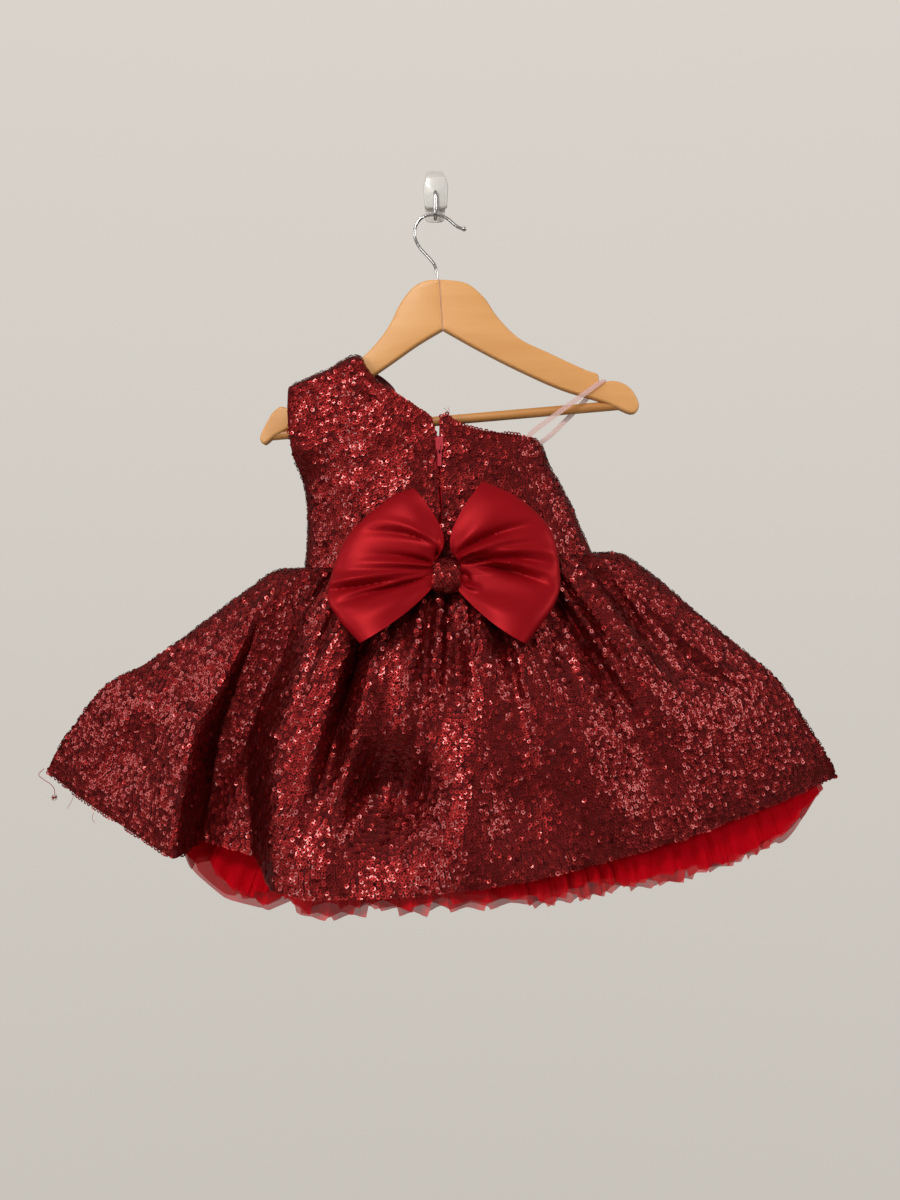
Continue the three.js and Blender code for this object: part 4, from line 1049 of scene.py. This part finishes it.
def makeWallHook():
    outline = np.array(wallHook["outline"], float)
    middle = outline.mean(0)
    rings = []
    for share, height in wallHook["sections"]:
        flat = middle + (outline - middle) * share
        y = np.full(len(flat), wallHook["coverFrom"] - height)
        rings.append(np.column_stack([flat[:, 0], y, flat[:, 1]]))
    cover = stackRings("wallHookCover", rings)
    bpy.ops.object.modifier_add(type="BEVEL")
    bevel = cover.modifiers[-1]
    bevel.width, bevel.segments = 0.001 * wallHook["bevel"], 3
    bevel.limit_method, bevel.angle_limit = "ANGLE", math.radians(20)
    bpy.ops.object.modifier_apply(modifier=bevel.name)
    bpy.ops.object.shade_smooth_by_angle(angle=math.radians(18))
    finishPiece(cover, "white_plastic", white, replaces=["wall_hook_cover"])
    flat = smoothOutline(wallHook["wire"], 1.2)
    line = np.column_stack([np.full(len(flat), wallHook["wireX"]), flat[:, 0], flat[:, 1]])
    wire = sweepWire("wallHookWire", line, wallHook["wireRadius"])
    finishPiece(wire, "chrome", chrome, replaces=["wall_hook_wire"])


makeWallHook()
print("wall hook made")

# The clear strap over the right arm: place along it, then x, y, z and the turn of the band in degrees.
strap = {
    "wide": 4.6, "wall": 0.5,
    "path": [
        (0, 82, -30.6, -243, 53), (0.06, 88, -30.6, -231.5, 45), (0.16, 106, -29.5, -217.5, 53),
        (0.28, 130, -26, -199.5, 53), (0.4, 149, -23.4, -185.5, 40), (0.45, 155, -22.2, -181.4, 12),
        (0.48, 156.6, -19.4, -179.8, 2), (0.52, 156.7, -14.6, -179.8, 2), (0.56, 156.6, -10, -179.8, 2),
        (0.6, 154.5, -7.3, -182.2, 14), (0.68, 146, -6.4, -191, 45), (0.8, 127, -6.6, -211, 47),
        (0.9, 109, -10.4, -229, 45), (0.96, 98, -14.2, -238, 45), (1, 92, -14.2, -245, 45)],
}


def strapPoint(a, b):
    rows = np.array(strap["path"], float)
    line = readTable(rows[:, :4], a)
    turn = np.radians(np.interp(a, rows[:, 0], rows[:, 4]))
    shift = strap["wide"] * (b - 0.5)
    x, z = line[:, 0] + shift * np.cos(turn), line[:, 2] - shift * np.sin(turn)
    return np.column_stack([x, line[:, 1], z])


def makeStrap():
    piece = clothGrid("clearStrap", 150, 6, strapPoint, (0, -1, 0))
    giveWall(piece, strap["wall"])
    finishPiece(piece, "clear_elastic", clearBand, replaces=["clear_strap"])


makeStrap()

# The zip's two tapes, each with a bead along its edge.
zipper = {
    "wide": 0.028, "inset": 1.7, "from": 0.04, "to": 0.985, "wall": 0.6,
    "bead": 0.9, "beadPlace": 0.84, "beadWide": 0.1,
}


def tapePoint(sign, a, b):
    t = between(zipper["from"], zipper["to"], b)
    s = bodice["zipPlace"] + sign * zipper["wide"] * (1 - a)
    if sign < 0:
        point = leftBack(s / bodice["zipPlace"], t)
    else:
        point = rightBack((s - bodice["zipPlace"]) / (1 - bodice["zipPlace"]), t)
    point[:, 0] -= sign * (bodice["zipGap"] / 2 - bodice["gap"] / 2) * smoothStep(a, 0, 1)
    away = (a - zipper["beadPlace"]) / zipper["beadWide"]
    point[:, 1] += zipper["inset"] - zipper["bead"] * np.exp(-away**2)
    return point


def makeZip():
    parts = []
    for name, sign, node in (("zipTapeLeft", -1, "zip_tape_left"), ("zipTapeRight", 1, "zip_tape_right")):
        tape = clothGrid(name, 20, 80, lambda a, b: tapePoint(sign, a, b), (0, -1, 0))
        giveWall(tape, zipper["wall"])
        parts.append(finishPiece(tape, "satin", satin, replaces=[node]))
    return parts


zipParts = makeZip()

# The lining inside the front neckline, only where it shows.
neck = {"across": (0.2, 0.5), "up": (0.86, 1), "inside": 2, "wall": 0.7}


def neckPoint(a, b):
    point = bodicePoint(bodice["frontTop"], False, between(*neck["across"], a), between(*neck["up"], b))
    point[:, 1] -= neck["inside"]
    return point


def makeNeckLining():
    piece = clothGrid("frontNeckBand", 60, 14, neckPoint, (0, -1, 0))
    giveWall(piece, neck["wall"])
    return finishPiece(piece, "lining", lining, replaces=["front_neck_lining"])


neckBand = makeNeckLining()
print("strap, zip and lining made")


# The solids that show as they are.
def dressCadNodes():
    for node, material in (
            ("zip_slider", zipMetal), ("zip_pull_tab", zipMetal), ("wall_hook_plate", stripGel)):
        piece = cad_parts[node]
        piece.data.materials.clear()
        piece.data.materials.append(material)


dressCadNodes()

# Loose threads. One hangs free from the hem's left corner and ends in a tuft of fibres.
threads = {
    "radius": 0.3, "shortShare": 0.6, "fuzz": 3.8, "fibres": 22, "fibreRadius": 0.22, "tuftBelow": 2.2,
    "hanging": [(-360.3, -22, -539.1), (-364.9, -23, -544.6), (-359.5, -25, -548.8), (-352.9, -26, -552.9),
                (-349.6, -26, -557.4), (-349.2, -26, -563)],
    "short": [
        [(-328.1, -38, -561), (-329.6, -38.5, -566), (-333.6, -39, -573.1)],
        [(12.4, -46, -217.5), (11.6, -46.5, -213), (8.6, -47, -210.4)],
        [(12.8, -46, -217.5), (13.4, -46.6, -213.4), (12.2, -47, -209.6)],
        [(-305, -54, -574), (-306.5, -54.5, -579), (-304, -54.8, -583)]],
}


def smoothRoute(points, steps):
    place = np.linspace(0, len(points) - 1, steps * (len(points) - 1) + 1)
    return throughPoints(points, place)


def makeThreads():
    route = smoothRoute(threads["hanging"], 8)
    hanging = sweepWire("hangingThread", route, threads["radius"], 8)
    finishPiece(hanging, None, thread)
    ends = []
    for path in threads["short"]:
        radius = threads["shortShare"] * threads["radius"]
        ends.append(sweepWire("threadEnd", smoothRoute(path, 5), radius, 5))
    centre = np.array(threads["hanging"][-1], float) - (0, 0, threads["tuftBelow"])
    for spin in rng.normal(size=(threads["fibres"], 3)):
        away = centre + threads["fuzz"] * unit(spin) * rng.uniform(0.6, 1)
        swerve = 0.5 * (centre + away) + rng.normal(0, 0.7, 3)
        fibre = smoothRoute([centre, swerve, away], 3)
        ends.append(sweepWire("threadEnd", fibre, threads["fibreRadius"], 4))
    tufts = joinPieces(*ends)
    tufts.name = tufts.data.name = "threadEnds"
    finishPiece(tufts, None, thread)
    return hanging, tufts, route


hangingThread, threadEnds, threadRoute = makeThreads()
print("trim made")


# Each cloth's cut: width, length and area in metres, how it is held, by what, and its sequins.
def declareCloth():
    left, right, front = (bodiceParts[f"bodice{side}Cloth"] for side in ("BackLeft", "BackRight", "Front"))
    skirtBackCloth, skirtFrontCloth = skirtParts["skirtBackCloth"], skirtParts["skirtFrontCloth"]
    waist = [left.name, right.name]
    cuts = [
        (left, 0.13, 0.2, 0.0225, "hung", ["hangerArmLeft"], sequinParts["bodiceBackLeft"]),
        (right, 0.145, 0.135, 0.0155, "hung", ["clearStrap"], sequinParts["bodiceBackRight"]),
        (front, 0.29, 0.2, 0.036, "hung", ["hangerArmLeft"], sequinParts["bodiceFront"]),
        (skirtBackCloth, 0.98, 0.31, 0.22, "gathered", waist, sequinParts["skirtBack"]),
        (skirtFrontCloth, 0.8, 0.31, 0.18, "gathered", [front.name], sequinParts["skirtFront"]),
        (knotCloth, 0.024, 0.08, 0.0019, "stretched", [loop.name for loop in bowParts], [knotSequins]),
        (neckBand, 0.09, 0.03, 0.0024, "stretched", [front.name], []),
    ]
    cuts += [(tape, 0.01, 0.135, 0.0012, "stretched", waist, []) for tape in zipParts]
    cuts += [(loop, 0.14, 0.19, 0.023, "folded", [knotCloth.name], []) for loop in bowParts]
    for layer in netParts:
        if "Back" in layer.name:
            cuts.append((layer, 1.3, 0.31, 0.25, "gathered", [skirtBackCloth.name], []))
        else:
            cuts.append((layer, 1.1, 0.31, 0.21, "gathered", [skirtFrontCloth.name], []))


declareCloth()

# The studio, in metres. The room's brightness rises with height, as seen and as it lights the dress.
studio = {
    "aim": (0, 0, -0.42), "floor": -1.6, "floorSize": 2.4, "pale": (0.672, 0.631, 0.578),
    "seen": (0.86, 1.04), "seenReach": 0.45, "ambient": (0.08, 0.5), "ambientReach": 0.7,
    "lights": [
        {"name": "key", "place": (-0.7, -2.0, 1.15), "size": 0.5, "power": 27, "color": (1, 0.95, 0.88)},
        {"name": "low", "place": (-1.0, -2.2, -0.3), "size": 0.5, "power": 8, "color": (1, 0.96, 0.9)},
        {"name": "left", "place": (-2.1, -1.0, 0.5), "size": 0.8, "power": 12, "color": (1, 0.96, 0.9)},
        {"name": "right", "place": (2.0, -1.1, 0.6), "size": 0.7, "power": 14, "color": (1, 0.96, 0.9)},
    ],
}


def lightRoom():
    world = bpy.data.worlds.new("paleRoom")
    world.use_nodes = True
    nodes, links = world.node_tree.nodes, world.node_tree.links
    sky = nodes["Background"]
    sky.inputs["Color"].default_value = (*studio["pale"], 1)
    where, split = nodes.new("ShaderNodeTexCoord"), nodes.new("ShaderNodeSeparateXYZ")
    links.new(where.outputs["Generated"], split.inputs["Vector"])
    rays, choose = nodes.new("ShaderNodeLightPath"), nodes.new("ShaderNodeMix")
    links.new(rays.outputs["Is Camera Ray"], choose.inputs["Factor"])
    for kind, socket in (("ambient", "A"), ("seen", "B")):
        reach = studio[f"{kind}Reach"]
        spread = nodes.new("ShaderNodeMapRange")
        for bound, value in zip(("From Min", "From Max", "To Min", "To Max"), (-reach, reach, *studio[kind])):
            spread.inputs[bound].default_value = value
        links.new(split.outputs["Z"], spread.inputs["Value"])
        links.new(spread.outputs["Result"], choose.inputs[socket])
    links.new(choose.outputs["Result"], sky.inputs["Strength"])
    bpy.context.scene.world = world


def makeStudio():
    clearSelection()
    bpy.ops.mesh.primitive_plane_add(size=studio["floorSize"], location=(0, 0, studio["floor"]))
    floor = bpy.context.object
    floor.name = "floor"
    floor.data.materials.append(newMaterial("paleFloor", studio["pale"], 0.9))
    lightRoom()
    for spec in studio["lights"]:
        bpy.ops.object.light_add(type="AREA", location=spec["place"])
        light = bpy.context.object
        light.name = spec["name"]
        light.data.size = spec["size"]
        light.data.energy, light.data.color = spec["power"], spec["color"]
        x, y, z = np.array(studio["aim"]) - np.array(spec["place"])
        light.rotation_euler = (math.atan2(math.hypot(x, y), -z), 0, math.atan2(y, x) - math.pi / 2)


makeStudio()
print("studio made")
